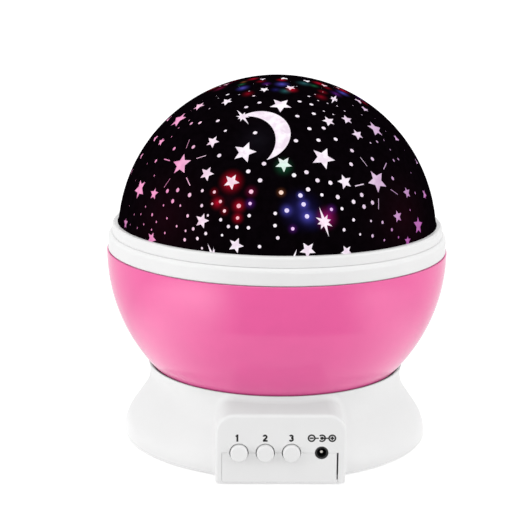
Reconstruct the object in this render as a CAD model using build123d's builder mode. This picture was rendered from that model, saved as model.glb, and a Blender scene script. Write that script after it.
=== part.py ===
"""A star night light: a lit dome on a turning bowl, carried by a flared base.

Millimetres, +Z up. The origin is at the middle of the resting face, under the rubber feet, and the
control panel faces -Y. Each sub-part is its own solid or group of solids, written to parts/.
"""

import math
import os
from collections import namedtuple

from build123d import *

# ---------------------------------------------------------------- driving dimensions

# Clearances
seat_gap = 0.2  # between pieces that drop into each other and stay
running_gap = 0.3  # between faces of pieces that move past each other
bearing_gap = 0.05  # radial, shaft to bush
screw_gap = 0.05  # radial, screw shank to hole
overcut = 1.0  # how far a cut reaches past the face it starts from

# Base: the flared bell
neck_radius = 49.1
flare_spread = 10.1  # of the rim past the neck
foot_arc_radius = 14.3
neck_arc_radius = 14.5
flare_angle = 34.5  # of the straight stretch, from the vertical
base_wall = 2.0
lip_z = 28.6
lip_wall = 0.79
cup_gap = 0.4  # between the lip and the turning bowl

# Base: the deck that carries the mechanism
deck_thickness = 2.0

# Base: control panel box
panel_proud = 4.4  # of the panel's face past the bell's rim
panel_half_width = 23.4
panel_lip_drop = 2.2  # of the panel's top below the lip
panel_corner_radius = 6.6
panel_wall = 2.0
panel_blend_radius = 2.5
panel_axis_z = 12.2  # of the buttons and the inlet, and the parting line through them
tab_left_margin = 2.2  # of the tab, from the panel's sides
tab_right_margin = 2.7
tab_slot = 0.6  # the wide seam at the tab's right side
tab_seam = 0.08
tab_chamfer = 0.12
panel_edge_fillet = 1.2
strip_z = 2.0  # top of the strip that closes the wide seam below

# Bottom cover
foot_standout = 0.8
cover_recess = 0.4
cover_thickness = 2.0
cover_margin = 0.5  # between the cover's edge and the bell

# Rubber feet
foot_radius = 4.5
foot_sink = 0.8
foot_inset = 8.2  # of the feet's middles, from the cover's edge
foot_angle = 25.0

# Housing screws
housing_screw_inset = 10.7  # from the cover's edge
housing_screw_angle = 52.0
housing_screw_radius = 1.45
housing_screw_head_radius = 2.8
housing_screw_head_height = 1.6
housing_screw_length = 8.0
housing_boss_radius = 3.6
recess_reach = 3.0  # of the cross recess, from end to end of an arm
recess_width = 0.8
cover_boss_height = 2.0
cover_boss_radius = 4.2

# Batteries and their tray
battery_radius = 5.25
battery_length = 44.5
battery_nub_radius = 1.9
battery_nub_length = 0.8
battery_gap = 0.3
bay_spacing = 2.75  # of each bay, from the middle plane
tray_motor_gap = 2.2
tray_wall = 1.6
tray_roof = 1.2
contact_thickness = 0.4
contact_width = 18.0
contact_height = 8.0
spring_length = 3.0
spring_wire_radius = 0.3
spring_radius = 2.6
spring_pitch = 0.9

# Battery door
door_thickness = 1.8
door_margin = 0.35  # of the door past the bays
door_barrel_radius = 1.0
door_pin_radius = 0.6
door_pin_length = 1.4
door_hinge_boss_height = 1.2
door_hinge_boss_length = 3.0
door_hinge_boss_half_width = 2.0
door_screw_radius = 1.0
door_screw_head_radius = 2.0
door_screw_head_height = 1.0
door_screw_length = 4.4
door_screw_x = 17.0
door_screw_inset = 2.2
door_screw_boss_radius = 2.6
door_screw_boss_height = 5.4
door_tongue_half_width = 4.0
door_tongue_length = 4.6

# Control board and what it carries
board_setback = 10.8  # of the board's rear face, from the panel's face
board_thickness = 1.6
board_side_gap = 2.8
board_margin = 1.8
board_boss_radius = 2.2
board_boss_inset = 3.2  # from the board's ends
board_boss_drop = 4.4  # from the panel's inner top
board_screw_radius = 0.9
board_screw_head_radius = 1.8
board_screw_head_height = 1.2
board_screw_length = 5.0

# Push buttons
button_side_margin = 8.4  # of the first button, from the panel's side
button_pitch = 9.4
button_cap_radius = 3.1
button_hole_radius = 3.45
button_standout = 2.0
button_travel = 1.5
button_flange_radius = 4.1
button_flange_thickness = 1.0
button_edge_fillet = 0.6
switch_size = 5.8
switch_depth = 4.0
plunger_size = 2.6
plunger_engagement = 0.6

# Direct-current inlet
inlet_side_margin = 8.8
inlet_nose_radius = 2.35
inlet_hole_radius = 2.45
inlet_bore_radius = 1.75
inlet_bore_depth = 8.3
inlet_pin_radius = 0.65
inlet_pin_setback = 0.9
inlet_nose_setback = 0.25
inlet_body_width = 8.6
inlet_body_height = 9.6

# Drive gears
gear_module = 1.0
turntable_teeth = 60
pinion_teeth = 12
pressure_angle = 20.0
tooth_backlash = 0.16
mesh_allowance = 0.1  # added to the gears' centre distance
gear_width = 3.0
gear_gap = 0.8  # between the deck and the gears
turntable_hole_radius = 12.0
turntable_screw_circle_radius = 20.0
turntable_addendum = 0.7  # in modules, shortened to clear the pinion's roots
pinion_addendum = 1.0
dedendum = 1.25

# Gear motor
motor_radius = 10.0
motor_ear_reach = 14.6
motor_ear_half_width = 3.0
motor_ear_thickness = 1.2
motor_screw_x = 12.2
motor_height = 11.8
motor_boss_radius = 3.4
motor_boss_height = 1.4
motor_shaft_radius = 1.5
motor_shaft_depth = 3.0
motor_edge_fillet = 0.6

# Small screws of the mechanism
small_screw_radius = 0.95
small_screw_head_radius = 1.8
small_screw_head_height = 1.2
small_screw_length = 2.8
turntable_screw_length = 4.4
post_screw_length = 3.6
post_screw_circle_radius = 6.5

# Lamp post and hub
post_radius = 4.0
post_bore_radius = 2.6
post_flange_radius = 9.0
post_flange_thickness = 2.0
post_rise = 2.4  # of the post's top above the bowl's
bush_outer_radius = 6.0
bush_flange_radius = 9.4
thrust_gap = 0.1
hub_radius = 8.5
hub_height = 9.6
retainer_radius = 6.4
retainer_thickness = 1.0

# Lamp board and light-emitting diodes
lamp_board_radius = 11.0
lamp_board_thickness = 1.2
holder_wall = 1.4
holder_floor = 1.6
holder_socket_depth = 5.0
holder_socket_radius = 6.0
led_white_radius = 2.5
led_white_height = 7.0
led_colour_radius = 1.5
led_colour_height = 4.4
led_colour_circle_radius = 7.0
led_flange_height = 1.0
led_flange_margin = 0.4

# Cables inside the base
lamp_cable_radius = 1.1
lamp_cable_z = 9.6
lamp_cable_bend_radius = 10.0
channel_floor = 1.0
motor_cable_radius = 0.9
battery_cable_radius = 0.9
battery_cable_drop = 2.4  # of its board end, from its tray end
battery_cable_bend_radius = 9.0

# Bowl
bowl_bulge = 0.5  # of the bowl past its ring
bowl_wall = 2.0
bowl_floor = 2.0
bowl_top_rise = 1.0  # of the bowl's top past its widest place
bowl_edge_chamfer = 0.2

# White ring on the bowl
ring_step = 1.6  # of the bowl's ring past the dome's
ring_step_fillet = 1.6
bowl_ring_height = 6.4
shadow_gap = 0.45  # between the bowl and its ring, on the outside
shadow_gap_depth = 0.9
spigot_depth = 3.0

# White ring on the dome
dome_ring_wall = 2.05
dome_ring_height = 3.9
dome_ring_fillet = 1.0
dome_ledge_thickness = 1.5
dome_spigot_inset = 1.05  # from the dome's bore
dome_spigot_depth = 4.5
dome_spigot_wall = 1.5
dome_rest_gap = 0.1

# Dome and its printed skin
dome_radius = 61.25
dome_centre_drop = 1.65  # of the dome's middle below its ring
dome_wall = 1.5
print_thickness = 0.25
dome_seat_gap = 0.1

# ---------------------------------------------------------------- worked-out places

# Screw holes
housing_screw_hole_radius = housing_screw_radius + screw_gap
board_screw_hole_radius = board_screw_radius + screw_gap
small_screw_hole_radius = small_screw_radius + screw_gap

# Rings and dome, across
dome_bore_radius = dome_radius + dome_seat_gap
dome_ring_radius = dome_bore_radius + dome_ring_wall
dome_spigot_radius = dome_bore_radius - dome_spigot_inset
bowl_ring_bore_radius = dome_spigot_radius + running_gap
ring_radius = dome_ring_radius + ring_step
bowl_radius = ring_radius + bowl_bulge
bowl_inner_radius = bowl_radius - bowl_wall
shell_radius = dome_radius - print_thickness

# Stack of the base, from the floor up
rim_z = foot_standout
cover_z = rim_z + cover_recess
cover_top_z = cover_z + cover_thickness
door_top_z = cover_z + door_thickness
door_hinge_z = cover_z + door_barrel_radius + seat_gap / 2
tray_underside_z = max(door_hinge_z + door_barrel_radius, door_top_z, cover_top_z) + running_gap
battery_axis_z = door_top_z + battery_gap + battery_radius
tray_roof_z = battery_axis_z + battery_radius + battery_gap
tray_top_z = tray_roof_z + tray_roof
deck_z = tray_top_z + running_gap
deck_top_z = deck_z + deck_thickness
gear_z = deck_top_z + gear_gap
bowl_floor_z = gear_z + gear_width
bowl_inner_floor_z = bowl_floor_z + bowl_floor

# The bell's outline: an arc out of the rim, a straight flare and an arc through the neck to the lip
flare = math.radians(flare_angle)
flare_arcs_radius = foot_arc_radius + neck_arc_radius
flare_inset = flare_arcs_radius * (1 - math.cos(flare))
flare_run = (flare_spread - flare_inset) / math.sin(flare)
base_radius = neck_radius + flare_spread
neck_z = rim_z + flare_arcs_radius * math.sin(flare) + flare_run * math.cos(flare)
lip_flare = neck_arc_radius - math.sqrt(neck_arc_radius**2 - (lip_z - neck_z) ** 2)
cover_radius = base_radius - base_wall - cover_margin
foot_circle_radius = cover_radius - foot_inset
housing_screw_circle_radius = cover_radius - housing_screw_inset

# Stack of the lamp, from the lip up
bowl_seat_radius = neck_radius + lip_flare - lip_wall - cup_gap
bowl_centre_z = lip_z + math.sqrt(bowl_radius**2 - bowl_seat_radius**2)
bowl_top_z = bowl_centre_z + bowl_top_rise
bowl_ring_top_z = bowl_top_z + bowl_ring_height
dome_ring_z = bowl_ring_top_z + dome_rest_gap
dome_ring_top_z = dome_ring_z + dome_ring_height
dome_seat_z = dome_ring_z + dome_ledge_thickness
dome_centre_z = dome_ring_z - dome_centre_drop
post_top_z = bowl_top_z + post_rise

# Cover's screws
cover_boss_top_z = cover_top_z + cover_boss_height
housing_boss_z = cover_boss_top_z + seat_gap / 2
housing_screw_z = cover_z + foot_sink / 2
housing_screw_head_top_z = housing_screw_z + housing_screw_head_height
housing_screw_top_z = housing_screw_head_top_z + housing_screw_length
housing_hole_top_z = housing_screw_top_z + running_gap

# Gears and motor
turntable_pitch_radius = gear_module * turntable_teeth / 2
pinion_pitch_radius = gear_module * pinion_teeth / 2
motor_y = turntable_pitch_radius + pinion_pitch_radius + mesh_allowance
pinion_top_z = bowl_floor_z - 2 * running_gap
motor_z = deck_z - motor_height

# Battery bays and door
bay_half_width = 2 * battery_radius + battery_gap / 2 + battery_gap
battery_offset_x = battery_radius + battery_gap / 2
bay_length = battery_length + spring_length + 2 * contact_thickness
bay_rear_y = motor_y - motor_radius - tray_motor_gap - tray_wall
bay_front_y = bay_rear_y - bay_length
battery_bay_x = bay_half_width + bay_spacing  # middle of each pair
bay_outer_x = battery_bay_x + bay_half_width
tray_half_width = bay_outer_x + tray_wall
tray_front_y = bay_front_y - tray_wall
tray_rear_y = bay_rear_y + tray_wall
channel_half_width = lamp_cable_radius + running_gap
channel_z = tray_underside_z + channel_floor
motor_cable_z = channel_z + motor_cable_radius + running_gap
door_half_width = bay_outer_x + door_margin
door_hinge_y = bay_front_y - door_margin - door_barrel_radius
door_rear_y = bay_rear_y + door_margin
door_screw_y = door_rear_y + door_screw_inset
door_tongue_y = door_rear_y + door_tongue_length
door_screw_boss_top_z = door_top_z + running_gap + door_screw_boss_height
door_screw_shank_z = cover_z + door_screw_head_height
door_screw_top_z = door_screw_shank_z + door_screw_length + running_gap

# Control panel and board
panel_depth = base_radius + panel_proud
panel_top_z = lip_z - panel_lip_drop
tab_left_x = tab_left_margin - panel_half_width
tab_right_x = panel_half_width - tab_right_margin
board_back_gap = panel_depth - board_setback
board_half_width = panel_half_width - panel_wall - board_side_gap
board_boss_x = board_half_width - board_boss_inset
button_first_x = button_side_margin - panel_half_width
inlet_x = panel_half_width - inlet_side_margin
panel_inner_depth = panel_depth - panel_wall
blend_rear_depth = math.sqrt(neck_radius**2 - panel_half_width**2) - panel_wall
panel_inner_top_z = panel_top_z - panel_wall
panel_hole_depths = (panel_inner_depth - overcut, panel_depth + overcut)
board_depth = board_back_gap + board_thickness
board_bottom_z = cover_top_z + board_margin / 2
board_top_z = panel_inner_top_z - board_margin
board_boss_z = panel_inner_top_z - board_boss_drop
board_hole_end_depth = board_back_gap + board_screw_length + running_gap
button_xs = [button_first_x + button_pitch * step for step in range(3)]
button_flange_depth = panel_inner_depth - running_gap
button_rear_depth = button_flange_depth - button_flange_thickness
switch_front_depth = board_depth + switch_depth
inlet_nose_depth = panel_depth - inlet_nose_setback
inlet_bore_end_depth = inlet_nose_depth - inlet_bore_depth

# Hub, post and lamp board
post_flange_top_z = deck_top_z + post_flange_thickness
bush_bottom_z = post_flange_top_z + thrust_gap
hub_top_z = bowl_inner_floor_z + hub_height
retainer_z = hub_top_z + running_gap
lamp_board_z = post_top_z + holder_floor
led_z = lamp_board_z + lamp_board_thickness
holder_radius = lamp_board_radius + seat_gap + holder_wall


def quarter_places(radius, angle):
    """Four places around the axis, one in each quarter, at an angle from the X axis."""
    x = radius * math.cos(math.radians(angle))
    y = radius * math.sin(math.radians(angle))
    return [(x, y), (-x, y), (-x, -y), (x, -y)]


def sphere_section_radius(radius, centre_z, z):
    """Radius of the circle that a sphere on the axis shows at a height."""
    return math.sqrt(radius**2 - (z - centre_z) ** 2)


foot_places = quarter_places(foot_circle_radius, foot_angle)
housing_screw_places = quarter_places(housing_screw_circle_radius, housing_screw_angle)

# ---------------------------------------------------------------- shared steps

FROM_BELOW = (Align.CENTER, Align.CENTER, Align.MIN)


def column(places, radius, bottom_z, top_z, mode=Mode.ADD):
    """Round columns between two heights, in the sub-part that is being built."""
    with Locations(*[(x, y, bottom_z) for x, y in places]):
        Cylinder(radius, top_z - bottom_z, align=FROM_BELOW, mode=mode)


def block(x_limits, y_limits, z_limits, mode=Mode.ADD):
    """Rectangular block between limits along X, Y and Z."""
    limits = (x_limits, y_limits, z_limits)
    middle = [(low + high) / 2 for low, high in limits]
    with Locations(tuple(middle)):
        Box(*[high - low for low, high in limits], mode=mode)


def front_bar(places, radius, rear_depth, front_depth, mode=Mode.ADD):
    """Round bars toward the panel's face, at (x, z), between two depths from the lamp's axis."""
    with Locations(*[Location((x, -rear_depth, z), (90, 0, 0)) for x, z in places]):
        Cylinder(radius, front_depth - rear_depth, align=FROM_BELOW, mode=mode)


def countersunk(places, radius, head_radius, top_z, mode=Mode.ADD):
    """Countersunk heads, or their seats, with a flush top."""
    head_height = head_radius - radius
    with Locations(*[(x, y, top_z - head_height) for x, y in places]):
        Cone(radius, head_radius, head_height, align=FROM_BELOW, mode=mode)


def write(builder, label):
    """Label a finished sub-part and write it as one STEP file."""
    builder.part.label = label
    export_step(builder.part, f"parts/{label}.step")


os.makedirs("parts", exist_ok=True)


# ---------------------------------------------------------------- base housing


def bell_section(inset):
    """Half section of the bell, inset from its outer face and closed along the axis."""
    with BuildSketch(Plane.XZ) as section:
        with BuildLine():
            foot_arc = JernArc((base_radius - inset, rim_z), (0, 1), foot_arc_radius - inset, flare_angle)
            run = Line(foot_arc @ 1, foot_arc @ 1 + (foot_arc % 1) * flare_run)
            lip_turn = math.degrees(math.asin((lip_z - neck_z) / (neck_arc_radius + inset)))
            neck_arc = JernArc(run @ 1, run % 1, neck_arc_radius + inset, -flare_angle - lip_turn)
            top = neck_arc @ 1
            Polyline(top, (0, top.Y), (0, rim_z), foot_arc @ 0)
        make_face()
    return section.sketch


def panel_face(inset):
    """Front view of the panel box: square below, rounded at its upper corners."""
    half_width = panel_half_width - inset
    height = panel_top_z - inset - rim_z
    with BuildSketch() as face:
        with Locations((0, rim_z + height / 2)):
            Rectangle(2 * half_width, height)
        fillet(face.vertices().group_by(Axis.Y)[-1], panel_corner_radius - inset)
    return face.sketch


with BuildPart() as bell:
    add(bell_section(0))
    revolve(axis=Axis.Z)

with BuildPart() as bell_inside:
    add(bell_section(base_wall))
    revolve(axis=Axis.Z)

with BuildPart() as panel_inside:
    with BuildSketch(Plane.XZ):
        add(panel_face(panel_wall))
    extrude(amount=panel_inner_depth)
    add(bell.part, mode=Mode.SUBTRACT)

button_places = [(x, panel_axis_z) for x in button_xs]
inlet_place = [(inlet_x, panel_axis_z)]
board_boss_places = [(-board_boss_x, board_boss_z), (board_boss_x, board_boss_z)]
motor_place = [(0, motor_y)]
motor_screw_places = [(-motor_screw_x, motor_y), (motor_screw_x, motor_y)]
post_screw_places = [
    (post_screw_circle_radius * math.cos(angle), post_screw_circle_radius * math.sin(angle))
    for angle in (math.radians(30 + 120 * step) for step in range(3))
]
door_screw_places = [(-door_screw_x, door_screw_y), (door_screw_x, door_screw_y)]
turntable_screw_places = quarter_places(turntable_screw_circle_radius, 45)
axis_place = [(0, 0)]

with BuildPart() as lower_hollow:
    add(bell_inside.part)
    split(bisect_by=Plane.XY.offset(deck_z), keep=Keep.BOTTOM)

with BuildPart() as cup_hollow:
    add(bell_inside.part)
    with Locations((0, 0, bowl_centre_z)):
        Sphere(bowl_radius + cup_gap)
    split(bisect_by=Plane.XY.offset(deck_top_z), keep=Keep.TOP)

with BuildPart() as base_housing:
    add(bell.part)
    with BuildSketch(Plane.XZ):
        add(panel_face(0))
    extrude(amount=panel_depth)
    # blends where the box leaves the bell, then the softened front edge
    meeting_edges = base_housing.edges(Select.LAST).filter_by(GeomType.LINE, reverse=True)
    fillet(
        meeting_edges.filter_by_position(Axis.Y, -panel_inner_depth, -blend_rear_depth),
        panel_blend_radius,
    )
    front_edges = base_housing.faces().sort_by(Axis.Y)[0].edges()
    fillet(front_edges.sort_by(Axis.Z)[1:], panel_edge_fillet)
    # hollows: below the deck, above it, behind the panel and the way through to the board
    add(lower_hollow.part, mode=Mode.SUBTRACT)
    add(cup_hollow.part, mode=Mode.SUBTRACT)
    add(panel_inside.part, mode=Mode.SUBTRACT)
    window_half_width = panel_half_width - panel_wall
    block(
        (-window_half_width, window_half_width),
        (-panel_inner_depth, -neck_radius / 2),
        (rim_z, deck_z),
        mode=Mode.SUBTRACT,
    )
    # bosses under the deck for the cover's screws, and behind the panel for the board's
    column(housing_screw_places, housing_boss_radius, housing_boss_z, deck_z)
    front_bar(board_boss_places, board_boss_radius, board_depth, panel_inner_depth)
    # screw holes
    column(
        housing_screw_places, housing_screw_hole_radius, housing_boss_z, housing_hole_top_z, Mode.SUBTRACT
    )
    front_bar(
        board_boss_places, board_screw_hole_radius, board_depth, board_hole_end_depth, Mode.SUBTRACT
    )
    column(motor_screw_places, small_screw_hole_radius, deck_z, deck_top_z, Mode.SUBTRACT)
    column(post_screw_places, small_screw_hole_radius, deck_z, deck_top_z, Mode.SUBTRACT)
    # ways through the deck for the motor's boss and the lamp's cable
    column(motor_place, motor_boss_radius + seat_gap, deck_z, deck_top_z, Mode.SUBTRACT)
    column(axis_place, post_bore_radius, deck_z, deck_top_z, Mode.SUBTRACT)
    # the panel's lower half is left to the cover's tab, and the buttons and the inlet pass through
    block(
        (tab_left_x, tab_right_x),
        (-panel_depth - overcut, -panel_inner_depth),
        (0, panel_axis_z),
        mode=Mode.SUBTRACT,
    )
    front_bar(button_places, button_hole_radius, *panel_hole_depths, Mode.SUBTRACT)
    front_bar(inlet_place, inlet_hole_radius, *panel_hole_depths, Mode.SUBTRACT)
write(base_housing, "base_housing")


# ---------------------------------------------------------------- bottom cover and feet

with BuildPart() as bottom_cover:
    with BuildSketch(Plane.XY.offset(cover_z)):
        Circle(cover_radius)
        with Locations((0, -panel_inner_depth / 2)):
            Rectangle(2 * (window_half_width - seat_gap), panel_inner_depth)
    extrude(amount=cover_thickness)
    # tab that closes the lower half of the panel
    block(
        (tab_left_x + tab_seam, tab_right_x - tab_slot),
        (-panel_depth, -panel_inner_depth + seat_gap),
        (rim_z, panel_axis_z - tab_seam),
    )
    block(
        (tab_left_x + tab_seam, tab_right_x - tab_seam),
        (-panel_depth, -panel_inner_depth + seat_gap),
        (rim_z, strip_z),
    )
    chamfer(bottom_cover.faces().sort_by(Axis.Y)[0].edges(), tab_chamfer)
    # battery tray, with its two bays open from below and a channel for the cables between them
    block((-tray_half_width, tray_half_width), (tray_front_y, tray_rear_y), (cover_z, tray_top_z))
    with Locations(*[(x, (tray_rear_y + door_screw_y) / 2, cover_z) for x in (-door_screw_x, door_screw_x)]):
        Box(
            2 * door_screw_boss_radius,
            door_screw_y - tray_rear_y,
            door_screw_boss_top_z - cover_z,
            align=FROM_BELOW,
        )
    column(door_screw_places, door_screw_boss_radius, cover_z, door_screw_boss_top_z)
    for bay_x in (-battery_bay_x, battery_bay_x):
        block(
            (bay_x - bay_half_width, bay_x + bay_half_width),
            (bay_front_y, bay_rear_y),
            (cover_z, tray_roof_z),
            mode=Mode.SUBTRACT,
        )
    block(
        (-channel_half_width, channel_half_width),
        (tray_front_y, tray_rear_y),
        (channel_z, tray_top_z),
        mode=Mode.SUBTRACT,
    )
    # bosses for the housing's screws and for the door's hinge pins
    column(housing_screw_places, cover_boss_radius, cover_z, cover_boss_top_z)
    for side in (-1, 1):
        block(
            sorted((side * door_half_width, side * (door_half_width + door_hinge_boss_length))),
            (door_hinge_y - door_hinge_boss_half_width, door_hinge_y + door_hinge_boss_half_width),
            (cover_z, cover_top_z + door_hinge_boss_height),
        )
    # opening for the door, its tongues and its hinge
    block(
        (-door_half_width - running_gap, door_half_width + running_gap),
        (door_hinge_y - door_barrel_radius - 2 * running_gap, door_rear_y + running_gap),
        (cover_z - overcut, tray_underside_z),
        mode=Mode.SUBTRACT,
    )
    tongue_slot_half_width = door_tongue_half_width + running_gap
    for tongue_x in (-door_screw_x, door_screw_x):
        block(
            (tongue_x - tongue_slot_half_width, tongue_x + tongue_slot_half_width),
            (door_rear_y, door_tongue_y + running_gap),
            (cover_z - overcut, door_top_z + running_gap),
            mode=Mode.SUBTRACT,
        )
    with Locations(Location((0, door_hinge_y, door_hinge_z), (0, 90, 0))):
        Cylinder(
            door_pin_radius + bearing_gap,
            2 * (door_half_width + door_pin_length + running_gap),
            mode=Mode.SUBTRACT,
        )
    # holes for the screws, pockets for the feet and the notches for the buttons and the inlet
    column(door_screw_places, door_screw_radius + running_gap, door_top_z, door_screw_top_z, Mode.SUBTRACT)
    column(
        housing_screw_places,
        housing_screw_head_radius + running_gap,
        cover_z - overcut,
        housing_screw_head_top_z,
        Mode.SUBTRACT,
    )
    column(
        housing_screw_places,
        housing_screw_hole_radius,
        cover_z,
        cover_boss_top_z,
        Mode.SUBTRACT,
    )
    column(foot_places, foot_radius, cover_z - overcut, cover_z + foot_sink, Mode.SUBTRACT)
    front_bar(button_places, button_hole_radius, *panel_hole_depths, Mode.SUBTRACT)
    front_bar(inlet_place, inlet_hole_radius, *panel_hole_depths, Mode.SUBTRACT)
write(bottom_cover, "bottom_cover")

with BuildPart() as rubber_feet:
    column(foot_places, foot_radius, 0, cover_z + foot_sink)
    fillet(rubber_feet.edges().group_by(Axis.Z)[0], foot_standout / 2)
write(rubber_feet, "rubber_feet")

with BuildPart() as housing_screws:
    column(housing_screw_places, housing_screw_head_radius, housing_screw_z, housing_screw_head_top_z)
    column(housing_screw_places, housing_screw_radius, housing_screw_head_top_z, housing_screw_top_z)
    with Locations(*[(x, y, housing_screw_z) for x, y in housing_screw_places]):
        for arms in ((recess_reach, recess_width), (recess_width, recess_reach)):
            Box(*arms, housing_screw_head_height / 2, align=FROM_BELOW, mode=Mode.SUBTRACT)
write(housing_screws, "housing_screws")


# ---------------------------------------------------------------- batteries and their contacts

# Each cell: its x, and +1 where its nub points to the rear
cells = [
    (bay_x + side * battery_offset_x, side)
    for bay_x in (-battery_bay_x, battery_bay_x)
    for side in (-1, 1)
]


def end_y(towards, inset):
    """Y of a plane set in from the bays' rear end (towards = +1) or front end (-1)."""
    return bay_rear_y - inset if towards > 0 else bay_front_y + inset


with BuildPart() as batteries:
    for x, nub_side in cells:
        flat_y = end_y(-nub_side, contact_thickness + spring_length)
        shoulder_y = end_y(nub_side, contact_thickness + battery_nub_length)
        tip_y = end_y(nub_side, contact_thickness)
        for radius, first_y, last_y in (
            (battery_radius, flat_y, shoulder_y),
            (battery_nub_radius, shoulder_y, tip_y),
        ):
            with Locations(Location((x, (first_y + last_y) / 2, battery_axis_z), (90, 0, 0))):
                Cylinder(radius, abs(last_y - first_y))
write(batteries, "batteries")

with BuildPart() as battery_contacts:
    for bay_x in (-battery_bay_x, battery_bay_x):
        for y_limits in (
            (bay_front_y, bay_front_y + contact_thickness),
            (bay_rear_y - contact_thickness, bay_rear_y),
        ):
            block(
                (bay_x - contact_width / 2, bay_x + contact_width / 2),
                y_limits,
                (battery_axis_z - contact_height / 2, battery_axis_z + contact_height / 2),
            )
write(battery_contacts, "battery_contacts")


def coil_spring(foot, direction):
    """Round-wire spring that stands on a point and reaches along a direction."""
    with BuildPart() as spring:
        with BuildLine() as coil:
            Helix(
                spring_pitch,
                spring_length - 2 * spring_wire_radius,
                spring_radius,
                center=foot,
                direction=direction,
            )
        with BuildSketch(Plane(origin=coil.line @ 0, z_dir=coil.line % 0)):
            Circle(spring_wire_radius)
        sweep(path=coil.line, is_frenet=True)
    return spring.part


with BuildPart() as battery_springs:
    for x, nub_side in cells:
        foot_y = end_y(-nub_side, contact_thickness + spring_wire_radius)
        add(coil_spring((x, foot_y, battery_axis_z), (0, nub_side, 0)))
write(battery_springs, "battery_springs")


# ---------------------------------------------------------------- control board, switches and inlet

with BuildPart() as control_board:
    block(
        (-board_half_width, board_half_width),
        (-board_depth, -board_back_gap),
        (board_bottom_z, board_top_z),
    )
    front_bar(board_boss_places, board_screw_hole_radius, board_back_gap, board_depth, Mode.SUBTRACT)
write(control_board, "control_board")

with BuildPart() as board_screws:
    front_bar(
        board_boss_places, board_screw_head_radius, board_back_gap - board_screw_head_height, board_back_gap
    )
    front_bar(board_boss_places, board_screw_radius, board_back_gap, board_back_gap + board_screw_length)
write(board_screws, "board_screws")

plunger_slot = plunger_size + 2 * bearing_gap
plunger_rear_depth = switch_front_depth - plunger_engagement

with BuildPart() as push_switches:
    for x, z in button_places:
        block(
            (x - switch_size / 2, x + switch_size / 2),
            (-switch_front_depth, -board_depth),
            (z - switch_size / 2, z + switch_size / 2),
        )
        block(
            (x - plunger_slot / 2, x + plunger_slot / 2),
            (-switch_front_depth, -plunger_rear_depth + button_travel + running_gap),
            (z - plunger_slot / 2, z + plunger_slot / 2),
            mode=Mode.SUBTRACT,
        )
write(push_switches, "push_switches")

for label, (x, z) in zip(("lamp", "colour", "rotation"), button_places):
    with BuildPart() as switch_plunger:
        block(
            (x - plunger_size / 2, x + plunger_size / 2),
            (-button_rear_depth, -plunger_rear_depth),
            (z - plunger_size / 2, z + plunger_size / 2),
        )
    write(switch_plunger, f"{label}_switch_plunger")

    with BuildPart() as button:
        front_bar([(x, z)], button_flange_radius, button_rear_depth, button_flange_depth)
        front_bar([(x, z)], button_cap_radius, button_flange_depth, panel_depth + button_standout)
        fillet(button.edges().sort_by(Axis.Y)[0], button_edge_fillet)
    write(button, f"{label}_button")

with BuildPart() as power_inlet:
    block(
        (inlet_x - inlet_body_width / 2, inlet_x + inlet_body_width / 2),
        (-panel_inner_depth + seat_gap, -board_depth),
        (panel_axis_z - inlet_body_height / 2, panel_axis_z + inlet_body_height / 2),
    )
    front_bar(inlet_place, inlet_nose_radius, board_depth, inlet_nose_depth)
    front_bar(inlet_place, inlet_bore_radius, inlet_bore_end_depth, inlet_nose_depth, Mode.SUBTRACT)
write(power_inlet, "power_inlet")

with BuildPart() as inlet_pin:
    front_bar(inlet_place, inlet_pin_radius, inlet_bore_end_depth, inlet_nose_depth - inlet_pin_setback)
    fillet(inlet_pin.edges().sort_by(Axis.Y)[0], inlet_pin_radius / 2)
write(inlet_pin, "inlet_pin")


# ---------------------------------------------------------------- gear motor and its pinion

with BuildPart() as gear_motor:
    column(motor_place, motor_radius, motor_z, deck_z)
    fillet(gear_motor.edges().group_by(Axis.Z)[0], motor_edge_fillet)
    block(
        (-motor_ear_reach, motor_ear_reach),
        (motor_y - motor_ear_half_width, motor_y + motor_ear_half_width),
        (deck_z - motor_ear_thickness, deck_z),
    )
    column(motor_place, motor_boss_radius, deck_z, deck_z + motor_boss_height)
    column(
        motor_place,
        motor_shaft_radius + bearing_gap,
        deck_z - motor_shaft_depth,
        deck_z + motor_boss_height,
        Mode.SUBTRACT,
    )
    column(
        motor_screw_places,
        small_screw_hole_radius,
        deck_z - motor_ear_thickness,
        deck_z,
        Mode.SUBTRACT,
    )
write(gear_motor, "gear_motor")

with BuildPart() as motor_screws:
    ear_z = deck_z - motor_ear_thickness
    column(motor_screw_places, small_screw_head_radius, ear_z - small_screw_head_height, ear_z)
    column(motor_screw_places, small_screw_radius, ear_z, ear_z + small_screw_length)
write(motor_screws, "motor_screws")

with BuildPart() as motor_shaft:
    column(motor_place, motor_shaft_radius, deck_z - motor_shaft_depth + thrust_gap, pinion_top_z)
write(motor_shaft, "motor_shaft")


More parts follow.
